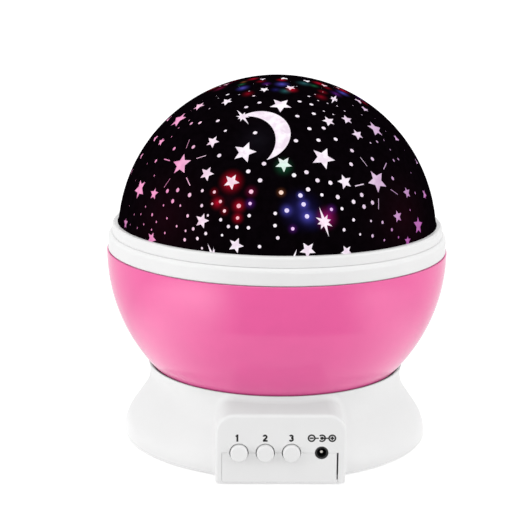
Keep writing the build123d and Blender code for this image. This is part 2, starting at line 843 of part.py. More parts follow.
def spur_gear(teeth, addendum):
    """Involute spur gear outline, with a tooth on the X axis."""
    pitch_radius = gear_module * teeth / 2
    base_circle_radius = pitch_radius * math.cos(math.radians(pressure_angle))
    tip_radius = pitch_radius + addendum * gear_module
    root_radius = pitch_radius - dedendum * gear_module
    half_tooth = (math.pi * gear_module - 2 * tooth_backlash) / 4 / pitch_radius

    def involute(radius):
        angle = math.acos(base_circle_radius / radius)
        return math.tan(angle) - angle

    def flank_point(radius, side):
        angle = side * (half_tooth + involute(pitch_radius) - involute(radius))
        return (radius * math.cos(angle), radius * math.sin(angle))

    start_radius = max(base_circle_radius, root_radius)
    radii = [start_radius + (tip_radius - start_radius) * step / 4 for step in range(5)]
    foot_radius = root_radius * math.cos(2 * half_tooth)
    foot_half_width = flank_point(start_radius, 1)[1]

    with BuildSketch() as tooth:
        with BuildLine():
            rise = Spline(*[flank_point(radius, 1) for radius in radii])
            fall = Spline(*[flank_point(radius, -1) for radius in radii])
            Line(rise @ 1, fall @ 1)
            Polyline(rise @ 0, (foot_radius, foot_half_width), (foot_radius, -foot_half_width), fall @ 0)
        make_face()
    with BuildSketch() as outline:
        Circle(root_radius)
        with PolarLocations(0, teeth):
            add(tooth.sketch)
    return outline.sketch


with BuildPart() as drive_pinion:
    with BuildSketch(Plane((0, motor_y, gear_z))):
        add(spur_gear(pinion_teeth, pinion_addendum), rotation=180 / pinion_teeth)
        Circle(motor_shaft_radius + bearing_gap / 2, mode=Mode.SUBTRACT)
    extrude(amount=pinion_top_z - gear_z)
write(drive_pinion, "drive_pinion")


# ---------------------------------------------------------------- lamp post and light source

with BuildPart() as lamp_post:
    column(axis_place, post_flange_radius, deck_top_z, post_flange_top_z)
    column(axis_place, post_radius, deck_top_z, post_top_z)
    column(axis_place, post_bore_radius, deck_top_z, post_top_z, Mode.SUBTRACT)
    column(post_screw_places, small_screw_hole_radius, deck_top_z, post_flange_top_z, Mode.SUBTRACT)
    countersunk(
        post_screw_places,
        small_screw_hole_radius,
        small_screw_head_radius + screw_gap,
        post_flange_top_z,
        Mode.SUBTRACT,
    )
write(lamp_post, "lamp_post")

with BuildPart() as post_screws:
    column(post_screw_places, small_screw_radius, post_flange_top_z - post_screw_length, post_flange_top_z)
    countersunk(post_screw_places, small_screw_radius, small_screw_head_radius, post_flange_top_z)
write(post_screws, "post_screws")

with BuildPart() as hub_retainer:
    column(axis_place, retainer_radius, retainer_z, retainer_z + retainer_thickness)
    column(
        axis_place, post_radius + bearing_gap / 2, retainer_z, retainer_z + retainer_thickness, Mode.SUBTRACT
    )
write(hub_retainer, "hub_retainer")

with BuildPart() as led_holder:
    column(axis_place, holder_socket_radius, post_top_z - holder_socket_depth, post_top_z)
    column(axis_place, holder_radius, post_top_z, led_z + running_gap)
    column(
        axis_place,
        post_radius + bearing_gap / 2,
        post_top_z - holder_socket_depth,
        post_top_z,
        Mode.SUBTRACT,
    )
    column(axis_place, post_bore_radius, post_top_z, lamp_board_z, Mode.SUBTRACT)
    column(axis_place, lamp_board_radius + seat_gap, lamp_board_z, led_z + running_gap, Mode.SUBTRACT)
write(led_holder, "led_holder")

with BuildPart() as lamp_board:
    column(axis_place, lamp_board_radius, lamp_board_z, led_z)
write(lamp_board, "lamp_board")


def light_emitting_diode(place, radius, height):
    """Round-topped diode on the lamp board, with the collar at its foot."""
    column([place], radius + led_flange_margin, led_z, led_z + led_flange_height)
    column([place], radius, led_z, led_z + height - radius)
    with Locations((*place, led_z + height - radius)):
        Sphere(radius)


with BuildPart() as white_led:
    light_emitting_diode((0, 0), led_white_radius, led_white_height)
write(white_led, "white_led")

for step, colour in enumerate(("red", "green", "blue")):
    led_angle = math.radians(90 + 120 * step)
    led_place = (
        led_colour_circle_radius * math.cos(led_angle),
        led_colour_circle_radius * math.sin(led_angle),
    )
    with BuildPart() as colour_led:
        light_emitting_diode(led_place, led_colour_radius, led_colour_height)
    write(colour_led, f"{colour}_led")


# ---------------------------------------------------------------- cables inside the base


def cable(points, wire_radius, bend_radius):
    """Round cable along straight runs joined by arcs."""
    with BuildPart() as tube:
        with BuildLine() as route:
            FilletPolyline(*points, radius=bend_radius)
        with BuildSketch(Plane(origin=route.line @ 0, z_dir=route.line % 0)):
            Circle(wire_radius)
        sweep(path=route.line)
    return tube


lamp_cable = cable(
    [(0, -board_back_gap, lamp_cable_z), (0, 0, lamp_cable_z), (0, 0, lamp_board_z)],
    lamp_cable_radius,
    lamp_cable_bend_radius,
)
write(lamp_cable, "lamp_cable")

battery_cable_run = (board_back_gap + tray_front_y) / 3
battery_cable = cable(
    [
        (-battery_bay_x, tray_front_y, battery_axis_z),
        (-battery_bay_x, tray_front_y - battery_cable_run, battery_axis_z),
        (-battery_bay_x, tray_front_y - 2 * battery_cable_run, battery_axis_z - battery_cable_drop),
        (-battery_bay_x, -board_back_gap, battery_axis_z - battery_cable_drop),
    ],
    battery_cable_radius,
    battery_cable_bend_radius,
)
write(battery_cable, "battery_cable")

with BuildPart() as motor_cable:
    front_bar([(0, motor_cable_z)], motor_cable_radius, motor_radius - motor_y, board_back_gap)
write(motor_cable, "motor_cable")


# ---------------------------------------------------------------- battery door

with BuildPart() as battery_door:
    block((-door_half_width, door_half_width), (door_hinge_y, door_rear_y), (cover_z, door_top_z))
    for tongue_x in (-door_screw_x, door_screw_x):
        block(
            (tongue_x - door_tongue_half_width, tongue_x + door_tongue_half_width),
            (door_rear_y, door_tongue_y),
            (cover_z, door_top_z),
        )
    with Locations(Location((0, door_hinge_y, door_hinge_z), (0, 90, 0))):
        Cylinder(door_barrel_radius, 2 * door_half_width)
        Cylinder(door_pin_radius, 2 * (door_half_width + door_pin_length))
    column(door_screw_places, door_screw_radius + screw_gap, cover_z, door_top_z, Mode.SUBTRACT)
    column(
        door_screw_places, door_screw_head_radius + screw_gap, cover_z, door_screw_shank_z, Mode.SUBTRACT
    )
write(battery_door, "battery_door")

with BuildPart() as door_screws:
    column(door_screw_places, door_screw_head_radius, cover_z, door_screw_shank_z)
    column(
        door_screw_places, door_screw_radius, door_screw_shank_z, door_screw_shank_z + door_screw_length
    )
write(door_screws, "door_screws")


# ---------------------------------------------------------------- turning bowl


def spherical_cap_wall(outer_radius, wall, centre_z, low_z):
    """Half section of a dome wall on the axis, from a height up to the pole."""
    inner_radius = outer_radius - wall
    low_angle = math.degrees(math.asin((low_z - centre_z) / outer_radius))
    inner_angle = math.degrees(math.asin((low_z - centre_z) / inner_radius))
    with BuildSketch(Plane.XZ) as section:
        with BuildLine():
            outer = CenterArc((0, centre_z), outer_radius, low_angle, 90 - low_angle)
            inner = CenterArc((0, centre_z), inner_radius, inner_angle, 90 - inner_angle)
            Line(outer @ 0, inner @ 0)
            Line(outer @ 1, inner @ 1)
        make_face()
    return section.sketch


with BuildPart() as bowl:
    with BuildSketch(Plane.XZ):
        with BuildLine():
            outer_low = (sphere_section_radius(bowl_radius, bowl_centre_z, bowl_floor_z), bowl_floor_z)
            outer_top = (sphere_section_radius(bowl_radius, bowl_centre_z, bowl_top_z), bowl_top_z)
            inner_top = (sphere_section_radius(bowl_inner_radius, bowl_centre_z, bowl_top_z), bowl_top_z)
            inner_low = (
                sphere_section_radius(bowl_inner_radius, bowl_centre_z, bowl_inner_floor_z),
                bowl_inner_floor_z,
            )
            RadiusArc(outer_low, outer_top, -bowl_radius)
            Line(outer_top, inner_top)
            RadiusArc(inner_top, inner_low, bowl_inner_radius)
            Polyline(
                inner_low,
                (hub_radius, bowl_inner_floor_z),
                (hub_radius, hub_top_z),
                (bush_outer_radius, hub_top_z),
                (bush_outer_radius, bowl_floor_z),
                outer_low,
            )
        make_face()
    revolve(axis=Axis.Z)
    chamfer(
        bowl.edges().group_by(Axis.Z)[-1].sort_by(SortBy.RADIUS)[-1],
        bowl_edge_chamfer,
    )
    column(
        turntable_screw_places, small_screw_hole_radius, bowl_floor_z, bowl_inner_floor_z, Mode.SUBTRACT
    )
write(bowl, "bowl")

with BuildPart() as bowl_ring:
    with BuildSketch(Plane.XZ):
        with BuildLine():
            spigot_radius = bowl_inner_radius - seat_gap
            Polyline(
                (ring_radius - shadow_gap_depth, bowl_top_z),
                (ring_radius - shadow_gap_depth, bowl_top_z + shadow_gap),
                (ring_radius, bowl_top_z + shadow_gap),
                (ring_radius, bowl_ring_top_z),
                (bowl_ring_bore_radius, bowl_ring_top_z),
                (bowl_ring_bore_radius, bowl_top_z - spigot_depth),
                (spigot_radius, bowl_top_z - spigot_depth),
                (spigot_radius, bowl_top_z),
                close=True,
            )
        make_face()
    revolve(axis=Axis.Z)
    top_edges = bowl_ring.edges().group_by(Axis.Z)[-1].filter_by(GeomType.CIRCLE)
    fillet(top_edges.sort_by(SortBy.RADIUS)[-1], ring_step_fillet)
write(bowl_ring, "bowl_ring")

with BuildPart() as turntable_gear:
    with BuildSketch(Plane.XY.offset(gear_z)):
        add(spur_gear(turntable_teeth, turntable_addendum))
        Circle(turntable_hole_radius, mode=Mode.SUBTRACT)
        with Locations(*turntable_screw_places):
            Circle(small_screw_hole_radius, mode=Mode.SUBTRACT)
    extrude(amount=gear_width)
write(turntable_gear, "turntable_gear")

with BuildPart() as turntable_screws:
    column(
        turntable_screw_places,
        small_screw_head_radius,
        bowl_inner_floor_z,
        bowl_inner_floor_z + small_screw_head_height,
    )
    column(
        turntable_screw_places,
        small_screw_radius,
        bowl_inner_floor_z - turntable_screw_length,
        bowl_inner_floor_z,
    )
write(turntable_screws, "turntable_screws")

with BuildPart() as hub_bush:
    column(axis_place, bush_outer_radius - bearing_gap / 2, bush_bottom_z, hub_top_z)
    column(axis_place, bush_flange_radius, bush_bottom_z, bowl_floor_z)
    column(axis_place, post_radius + bearing_gap, bush_bottom_z, hub_top_z, Mode.SUBTRACT)
write(hub_bush, "hub_bush")


# ---------------------------------------------------------------- lift-off dome

with BuildPart() as dome_ring:
    with BuildSketch(Plane.XZ):
        with BuildLine():
            spigot_bore_radius = dome_spigot_radius - dome_spigot_wall
            Polyline(
                (dome_ring_radius, dome_ring_z),
                (dome_ring_radius, dome_ring_top_z),
                (dome_bore_radius, dome_ring_top_z),
                (dome_bore_radius, dome_seat_z),
                (spigot_bore_radius, dome_seat_z),
                (spigot_bore_radius, dome_ring_z - dome_spigot_depth),
                (dome_spigot_radius, dome_ring_z - dome_spigot_depth),
                (dome_spigot_radius, dome_ring_z),
                close=True,
            )
        make_face()
    revolve(axis=Axis.Z)
    top_edges = dome_ring.edges().group_by(Axis.Z)[-1].filter_by(GeomType.CIRCLE)
    fillet(top_edges.sort_by(SortBy.RADIUS)[-1], dome_ring_fillet)
write(dome_ring, "dome_ring")

with BuildPart() as dome_shell:
    add(spherical_cap_wall(shell_radius, dome_wall, dome_centre_z, dome_seat_z))
    revolve(axis=Axis.Z)
write(dome_shell, "dome_shell")


# ---------------------------------------------------------------- star print of the dome

# Motifs are placed by azimuth (0 at the front, positive to the right) and elevation above the
# dome's equator, both in degrees. Their radius is in mm, their turn clockwise in degrees.
Motif = namedtuple("Motif", "azimuth elevation radius turn")

stars = [
    Motif(*row)
    for row in (
        # large stars
        (-70, 49, 4.6, 60), (-17, 40, 4.5, 11), (-65, 21, 4.4, -36), (-1, 62, 4.5, 38),
        (56, 47, 4.2, 16), (17, 38, 4.6, 32), (57, 10, 3.8, 10),
        # middling stars
        (-65, 57, 3.2, 66), (-34, 43, 2.9, 12), (-31, 31, 3.0, 14), (-20, 29, 3.1, 22),
        (-29, 15, 2.9, 11), (-16, 8, 2.9, 20), (0, 36, 3.2, 34), (24, 29, 3.0, 62), (8, 7, 3.0, 40),
        (75, 60, 3.0, 22), (-44, 62, 2.8, 10), (27, 53, 2.8, 66), (40, 53, 2.7, 12),
        (40, 46, 2.8, 66), (69, 19, 2.8, 36), (-50.5, 6, 2.8, 20), (-71, 7.5, 2.9, -8),
        # small stars
        (-19, 72, 2.4, 20), (-49, 82, 2.2, 60), (-78, 39, 2.5, 50), (-68, 39, 2.5, 60),
        (-81, 31, 2.4, 50), (-54, 21, 2.6, -4), (21.5, 5.8, 2.4, 43), (12, 74, 2.6, 54),
        (70, 41, 2.5, 43), (67, 56, 2.6, 37), (78, 30, 2.4, 40), (54, 22, 2.6, -2),
        (45, 15, 2.6, -4), (49, 6, 2.2, 6), (84, 12, 3.2, 15), (92, 47, 3.2, 30), (95, 24, 2.6, 50),
        (16, 84.5, 2.6, 10), (60, 79, 2.6, 20), (69, 73, 2.4, 40), (86, 69, 2.4, 30),
        (-88, 71, 2.3, 20),
    )
]
rayed_stars = [Motif(-45, 33, 4.5, -12), Motif(39, 28, 4.6, -20)]
bursts = [
    Motif(-24, 55, 5.2, -45), Motif(14, 16, 5.8, -15), Motif(47, 64, 4.6, 60),
    Motif(-24, 4, 5.0, -28), Motif(-24, 4, 3.4, 6), Motif(2.2, 1.5, 6.8, 20),
]
moon = Motif(-12.5, 47.5, 11.6, 0)
# (azimuth, elevation) of the dots, by size
large_dots = [
    (-25, 60), (-17, 63), (-49, 50), (-55, 49), (-38, 52), (-54, 38), (-43, 40), (-14, 48), (-28, 38),
    (-8, 36), (-14, 33), (-9, 30), (-62, 32), (-47, 23), (-42, 24), (-43, 20), (-36, 23), (-16, 21),
    (-12, 26), (14, 64), (22, 62), (9, 56), (20, 57), (14, 50), (22, 50), (6, 45), (17, 45), (26, 45),
    (32, 40), (41, 36), (29, 35), (4, 32), (9, 33), (13, 30), (18, 29), (9, 27), (-1, 26), (6, 25),
    (7, 22), (1, 20), (8, 18), (20, 24), (26, 22), (30, 24), (30, 20), (34, 21), (48, 28), (-52, 66),
]
middling_dots = [
    (-30, 48), (-31, 25), (-26, 25), (-30, 20), (-23, 22), (-12, 22), (-21, 19), (-16, 17), (-12, 18),
    (-22, 16), (-16, 14), (-12, 14), (-19, 14), (-32, 12), (-35, 16), (-27, 11), (-30, 9), (-35, 8),
    (-52, 14), (-8, 8), (-2, 11), (-3, 19), (-3, 15), (3, 14), (14, 25), (17, 20), (21, 20), (25, 16),
    (21, 13), (37, 14), (32, 10), (41, 11), (60, 21), (-25, 67), (25, 67), (50, 42), (58, 34), (54, 34),
]
small_dots = [
    (-26, 21), (-27, 17), (-21, 11), (-28, 6), (-35, 11), (-39, 12), (-39, 19), (-44, 14), (-47, 18),
    (-49, 12), (-44, 9), (-51, 9), (-56, 10), (-59, 13), (-57, 16), (-64, 12), (-60, 8), (-66, 8),
    (-70, 14), (-76, 17), (-72, 23), (-80, 24), (-68, 30), (-58, 27), (-79, 28), (-62, 42), (-62, 46),
    (-59, 50), (-52, 57), (-68, 54), (-56, 63), (-62, 64), (-71, 60), (-54, 72), (-40, 67), (-34, 70),
    (-42, 76), (-12, 82), (33, 68), (30, 64), (45, 69), (36, 62), (42, 60), (58, 59), (28, 58), (33, 56),
    (44, 57), (56, 54), (66, 51), (45, 42), (56, 38), (56, 42), (64, 45), (69, 36), (63, 28), (53, 16),
    (32, 15), (27, 11), (37, 8), (44, 8), (54, 72), (21, 80), (80, 22), (86, 38), (-88, 40), (-85, 10), (-66, 73), (-20, 76), (22, 75),
    (88, 62), (-84, 62),
]
dot_radii = (0.8, 0.62, 0.46)
print_sides = (0, 180)  # the print is laid twice around the dome

star_waist = 0.46  # of a star's inner corners, as a share of its points
moon_bite_radius = 12.0
moon_bite_shift = (-5.2, -3.5)
ray_start = 6.5
ray_length = 4.0
ray_width = 0.45
burst_arms = (1.0, 0.5, 0.45, 0.6)  # arm lengths of half a burst, as shares of its radius
burst_waist = 0.26
print_cut_depth = 2.2  # below the dome's surface, past the sagging of the widest motif


def dome_plane(motif):
    """Plane under a motif: its normal points out of the dome and its Y axis up, then turned."""
    azimuth, elevation = math.radians(motif.azimuth), math.radians(motif.elevation)
    outward = Vector(
        math.sin(azimuth) * math.cos(elevation),
        -math.cos(azimuth) * math.cos(elevation),
        math.sin(elevation),
    )
    across = Vector(math.cos(azimuth), math.sin(azimuth), 0)
    origin = Vector(0, 0, dome_centre_z) + outward * (dome_radius - print_cut_depth)
    return Plane(origin=origin, x_dir=across.rotate(Axis(origin, outward), -motif.turn), z_dir=outward)


def pointed_outline(tips, waist):
    """Corners of a star: its tips, from the top, with an inner corner after each."""
    step = math.pi / len(tips)
    radii = [radius for tip in tips for radius in (tip, waist)]
    return [(radius * math.sin(step * k), radius * math.cos(step * k)) for k, radius in enumerate(radii)]


def pointed_face(tips, waist):
    """Face of a star with the given tip radii."""
    with BuildSketch() as face:
        Polygon(*pointed_outline(tips, waist), align=None)
    return face.sketch


def star_face(motif):
    """Five-pointed star."""
    return pointed_face([motif.radius] * 5, motif.radius * star_waist)


def rayed_star_face(motif):
    """Five-pointed star with a short ray beyond each point."""
    with BuildSketch() as face:
        add(star_face(motif))
        with PolarLocations(ray_start + ray_length / 2, 5, start_angle=90):
            Rectangle(ray_length, ray_width)
    return face.sketch


def burst_face(motif):
    """Eight-pointed flash, the same on both halves."""
    tips = [motif.radius * share for share in burst_arms] * 2
    return pointed_face(tips, motif.radius * burst_waist)


def moon_face(motif):
    """Crescent: a disc with a shifted disc taken out."""
    with BuildSketch() as face:
        Circle(motif.radius)
        with Locations(moon_bite_shift):
            Circle(moon_bite_radius, mode=Mode.SUBTRACT)
    return face.sketch


def dot_face(motif):
    """Round dot."""
    with BuildSketch() as face:
        Circle(motif.radius)
    return face.sketch


dots = [
    Motif(azimuth, elevation, radius, 0)
    for radius, places in zip(dot_radii, (large_dots, middling_dots, small_dots))
    for azimuth, elevation in places
]
print_faces = (
    (star_face, stars),
    (rayed_star_face, rayed_stars),
    (burst_face, bursts),
    (moon_face, [moon]),
    (dot_face, dots),
)

with BuildPart() as star_print:
    add(spherical_cap_wall(dome_radius, print_thickness, dome_centre_z, dome_seat_z))
    revolve(axis=Axis.Z)
    for side in print_sides:
        for draw_face, motifs in print_faces:
            for motif in motifs:
                with BuildSketch(dome_plane(motif._replace(azimuth=motif.azimuth + side))):
                    add(draw_face(motif))
    extrude(amount=print_cut_depth + overcut, mode=Mode.SUBTRACT, clean=False)
write(star_print, "star_print")
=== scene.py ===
"""Dresses a star night light: finishes, printed marks, lamp glow, screws and a plain studio.

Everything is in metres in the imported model's frame: +Z up, the control panel facing -Y, and the
origin under the middle of the rubber feet.
"""

from __future__ import annotations

import logging
import math
from dataclasses import dataclass, field
from enum import Enum
from typing import Iterable, Sequence

import bmesh
import bpy
from mathutils import Matrix, Vector

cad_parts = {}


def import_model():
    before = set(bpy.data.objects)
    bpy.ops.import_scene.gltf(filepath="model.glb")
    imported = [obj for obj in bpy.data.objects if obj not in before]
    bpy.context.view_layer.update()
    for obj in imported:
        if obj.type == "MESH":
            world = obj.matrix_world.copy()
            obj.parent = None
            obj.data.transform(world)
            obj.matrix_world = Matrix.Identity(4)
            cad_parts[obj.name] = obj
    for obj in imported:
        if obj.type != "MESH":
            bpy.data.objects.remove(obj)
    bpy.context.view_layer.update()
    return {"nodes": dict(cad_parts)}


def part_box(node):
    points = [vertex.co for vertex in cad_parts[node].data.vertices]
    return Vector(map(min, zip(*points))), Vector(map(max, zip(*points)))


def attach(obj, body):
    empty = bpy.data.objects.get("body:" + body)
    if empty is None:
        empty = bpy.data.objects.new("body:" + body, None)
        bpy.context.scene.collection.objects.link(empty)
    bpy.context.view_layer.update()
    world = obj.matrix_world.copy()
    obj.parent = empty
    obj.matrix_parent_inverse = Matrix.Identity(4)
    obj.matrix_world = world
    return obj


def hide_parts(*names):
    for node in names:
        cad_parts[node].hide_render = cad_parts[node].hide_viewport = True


LOG = logging.getLogger("night_light")
MM = 0.001

Colour = tuple[float, float, float]
Place = tuple[float, float, float]
Point = tuple[float, float]
Range = tuple[float, float]
Material = bpy.types.Material
Mesh = bpy.types.Mesh
Node = bpy.types.Node
NodeTree = bpy.types.NodeTree
Object = bpy.types.Object
Socket = bpy.types.NodeSocket


class Slot(Enum):
    """Names of material slots for new pieces; nothing in this script reads them."""

    SCREW = "screw_steel"
    SWITCH = "switch_body"


class Body(Enum):
    """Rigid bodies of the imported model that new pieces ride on."""

    BASE = "base"
    GLOBE = "globe"
    DOOR = "battery_door"


class HeadStyle(Enum):
    """Screw heads in use."""

    PAN = "pan"
    COUNTERSUNK = "countersunk"


# ---------------------------------------------------------------- node benches


class Bench:
    """A node tree with short calls for placing nodes and wiring them.

    Args:
        tree: The shader or geometry tree to work in.
    """

    def __init__(self, tree: NodeTree) -> None:
        """Takes the tree to work in."""
        self.tree = tree

    def feed(self, socket: Socket, value: object) -> None:
        """Wires a socket to another node's output, or sets its own value.

        Args:
            socket: The input to feed.
            value: Another node's output, or a plain value. A colour has three channels.
        """
        if isinstance(value, Socket):
            self.tree.links.new(value, socket)
        elif socket.type == "RGBA":
            socket.default_value = (*value, 1.0)
        else:
            socket.default_value = value

    def fill(self, node: Node, inputs: dict[str | int, object]) -> None:
        """Feeds several inputs of a node, each given by its name or index."""
        for key, value in inputs.items():
            self.feed(node.inputs[key], value)

    def add(self, kind: str, inputs: dict[str | int, object] | None = None, **settings: object) -> Node:
        """Places a node.

        Args:
            kind: Blender's name of the node type.
            inputs: Socket name or index to a value or another node's output.
            **settings: Properties of the node itself.

        Returns:
            The node.
        """
        node = self.tree.nodes.new(kind)
        for name, value in settings.items():
            setattr(node, name, value)
        self.fill(node, inputs or {})
        return node

    def math(self, operation: str, *values: object, clamp: bool = False) -> Socket:
        """Places a Math node and returns its result."""
        inputs = dict(enumerate(values))
        return self.add("ShaderNodeMath", inputs, operation=operation, use_clamp=clamp).outputs[0]

    def vector(self, operation: str, *values: object, output: str = "Vector") -> Socket:
        """Places a Vector Math node and returns one of its results."""
        inputs = dict(zip((0, "Scale" if operation == "SCALE" else 1), values))
        return self.add("ShaderNodeVectorMath", inputs, operation=operation).outputs[output]

    def blend(self, share: object, first: object, second: object) -> Socket:
        """Mixes two colours by a share.

        Args:
            share: How much of the second colour is taken, from 0 to 1.
            first: The colour at 0.
            second: The colour at 1.

        Returns:
            The mixed colour.
        """
        node = self.add("ShaderNodeMix", {"Factor": share}, data_type="RGBA", clamp_factor=True)
        colours = [socket for socket in node.inputs if socket.type == "RGBA"]
        for socket, value in zip(colours, (first, second)):
            self.feed(socket, value)
        return next(socket for socket in node.outputs if socket.type == "RGBA")

    def spread(self, value: object, start: object, end: object, low: float, high: float) -> Socket:
        """Maps a value smoothly from one range to another and returns the result."""
        ranges = {"Value": value, "From Min": start, "From Max": end, "To Min": low, "To Max": high}
        return self.add("ShaderNodeMapRange", ranges, interpolation_type="SMOOTHSTEP").outputs[0]

    def place(self) -> Socket:
        """The surface's point in the object's own coordinates."""
        return self.add("ShaderNodeTexCoord").outputs["Object"]

    def noise(self, place: Socket, scale: object, detail: float) -> Socket:
        """Places a noise texture and returns its value."""
        return self.add("ShaderNodeTexNoise", {"Vector": place, "Scale": scale, "Detail": detail}).outputs[0]

    def bump(self, height: Socket, depth: float) -> Socket:
        """Places a bump of a depth in metres and returns its normal."""
        return self.add("ShaderNodeBump", {"Height": height, "Distance": depth}).outputs[0]

    def group(self, tree: NodeTree, inputs: dict[str | int, object]) -> bpy.types.NodeOutputs:
        """Places a shared group with its own values and returns its outputs."""
        return self.add("ShaderNodeGroup", inputs, node_tree=tree).outputs


@dataclass
class ShaderGroups:
    """Effects that several finishes share, each built once as a shader node group."""

    peel_detail: float = 3.0
    cloud_share: float = 0.3  # of the peel's scale
    cloud_detail: float = 4.0
    cloud_range: Range = (0.3, 0.7)
    line_detail: float = 2.0
    stain_share: float = 0.2  # of the lines' scale
    stain_detail: float = 5.0
    stain_range: Range = (0.35, 0.65)

    def __post_init__(self) -> None:
        """Builds the groups."""
        self.moulding = self._moulding()
        self.streaks = self._streaks()
        self.lobe = self._lobe()
        self.halo = self._halo()

    @staticmethod
    def _start(name: str, inputs: dict[str, tuple[str, object]], outputs: Iterable[str]) -> Bench:
        """Makes an empty group with named sockets.

        Args:
            name: The group's name.
            inputs: Socket name to its type and default.
            outputs: Names of the plain value outputs.

        Returns:
            A bench on the new group.
        """
        tree = bpy.data.node_groups.new(name, "ShaderNodeTree")
        for socket_name, (kind, default) in inputs.items():
            socket = tree.interface.new_socket(socket_name, in_out="INPUT", socket_type=kind)
            socket.default_value = default
        for socket_name in outputs:
            tree.interface.new_socket(socket_name, in_out="OUTPUT", socket_type="NodeSocketFloat")
        return Bench(tree)

    def _moulding(self) -> NodeTree:
        """Orange peel and faint mottling of moulded plastic.

        Returns:
            The group's tree.
        """
        bench = self._start("moulding", {"Scale": ("NodeSocketFloat", 400.0)}, ("Height", "Mottle"))
        scale, place = bench.add("NodeGroupInput").outputs["Scale"], bench.place()
        cloud = bench.noise(place, bench.math("MULTIPLY", scale, self.cloud_share), self.cloud_detail)
        peel = bench.noise(place, scale, self.peel_detail)
        mottle = bench.spread(cloud, *self.cloud_range, 0.0, 1.0)
        bench.add("NodeGroupOutput", {"Height": peel, "Mottle": mottle})
        return bench.tree

    def _streaks(self) -> NodeTree:
        """Fine lines along one direction, as on drawn or brushed metal.

        Returns:
            The group's tree.
        """
        inputs = {"Scale": ("NodeSocketFloat", 900.0), "Stretch": ("NodeSocketVector", (1.0, 1.0, 0.05))}
        bench = self._start("streaks", inputs, ("Height", "Mottle"))
        given, place = bench.add("NodeGroupInput").outputs, bench.place()
        drawn = bench.vector("MULTIPLY", place, given["Stretch"])
        lines = bench.noise(drawn, given["Scale"], self.line_detail)
        stain_scale = bench.math("MULTIPLY", given["Scale"], self.stain_share)
        stains = bench.noise(place, stain_scale, self.stain_detail)
        mottle = bench.spread(stains, *self.stain_range, 0.0, 1.0)
        bench.add("NodeGroupOutput", {"Height": lines, "Mottle": mottle})
        return bench.tree

    def _lobe(self) -> NodeTree:
        """Mask that grows towards one direction from a centre.

        Returns:
            The group's tree.
        """
        inputs = {
            "Centre": ("NodeSocketVector", (0.0, 0.0, 0.0)),
            "Direction": ("NodeSocketVector", (0.0, 0.0, 1.0)),
            "Start": ("NodeSocketFloat", 0.0),
            "End": ("NodeSocketFloat", 1.0),
        }
        bench = self._start("lobe", inputs, ("Mask",))
        given = bench.add("NodeGroupInput").outputs
        outward = bench.vector("NORMALIZE", bench.vector("SUBTRACT", bench.place(), given["Centre"]))
        towards = bench.vector("NORMALIZE", given["Direction"])
        facing = bench.vector("DOT_PRODUCT", outward, towards, output="Value")
        bench.add("NodeGroupOutput", {"Mask": bench.spread(facing, given["Start"], given["End"], 0.0, 1.0)})
        return bench.tree

    def _halo(self) -> NodeTree:
        """Soft round mask about a point.

        Returns:
            The group's tree.
        """
        inputs = {
            "Middle": ("NodeSocketVector", (0.0, 0.0, 0.0)),
            "Reach": ("NodeSocketFloat", 0.005),
            "Falloff": ("NodeSocketFloat", 1.8),
        }
        bench = self._start("halo", inputs, ("Mask",))
        given = bench.add("NodeGroupInput").outputs
        away = bench.vector("DISTANCE", bench.place(), given["Middle"], output="Value")
        near = bench.math("SUBTRACT", 1.0, bench.math("DIVIDE", away, given["Reach"]), clamp=True)
        bench.add("NodeGroupOutput", {"Mask": bench.math("POWER", near, given["Falloff"])})
        return bench.tree


# ---------------------------------------------------------------- finishes


def new_material(name: str) -> tuple[Material, Bench, Node]:
    """Makes an empty material.

    Args:
        name: The material's name.

    Returns:
        The material, a bench on its tree, and its Principled BSDF, already wired to the output.
    """
    material = bpy.data.materials.new(name)
    material.use_nodes = True
    material.node_tree.nodes.clear()
    bench = Bench(material.node_tree)
    shader = bench.add("ShaderNodeBsdfPrincipled")
    bench.add("ShaderNodeOutputMaterial", {"Surface": shader.outputs[0]})
    return material, bench, shader


def shaded(colour: Colour, factor: float) -> Colour:
    """The colour, darker or lighter by a factor."""
    return tuple(min(1.0, channel * factor) for channel in colour)


@dataclass(frozen=True)
class MouldedPlastic:
    """Injection-moulded plastic: even colour with a faint mottle, under orange peel.

    Depths are in metres, and grain_scale in noise cells per metre. Where spill is set, it is the
    colour that the surface throws on its neighbours, as bounced light and in their gloss.
    """

    name: str
    colour: Colour
    roughness: float = 0.3
    roughness_spread: float = 0.06
    mottle: float = 0.04
    grain_scale: float = 420.0
    grain_depth: float = 0.00002
    specular: float = 0.5
    coat: float = 0.0
    coat_roughness: float = 0.1
    spill: Colour | None = None

    def build(self, groups: ShaderGroups) -> Material:
        """Makes the material from the shared shader groups.

        Args:
            groups: The shared shader groups.

        Returns:
            The material.
        """
        material, bench, shader = new_material(self.name)
        moulding = bench.group(groups.moulding, {"Scale": self.grain_scale})
        mottle = moulding["Mottle"]
        tones = (shaded(self.colour, 1 - self.mottle), shaded(self.colour, 1 + self.mottle))
        colour = bench.blend(mottle, *tones)
        if self.spill:
            path = bench.add("ShaderNodeLightPath").outputs
            thrown = bench.math("MAXIMUM", path["Is Diffuse Ray"], path["Is Glossy Ray"])
            colour = bench.blend(thrown, colour, self.spill)
        low, high = (self.roughness * (1 + way * self.roughness_spread) for way in (-1, 1))
        bench.fill(
            shader,
            {
                "Base Color": colour,
                "Roughness": bench.spread(mottle, 0.0, 1.0, low, high),
                "Normal": bench.bump(moulding["Height"], self.grain_depth),
                "Specular IOR Level": self.specular,
                "Coat Weight": self.coat,
                "Coat Roughness": self.coat_roughness,
            },
        )
        return material


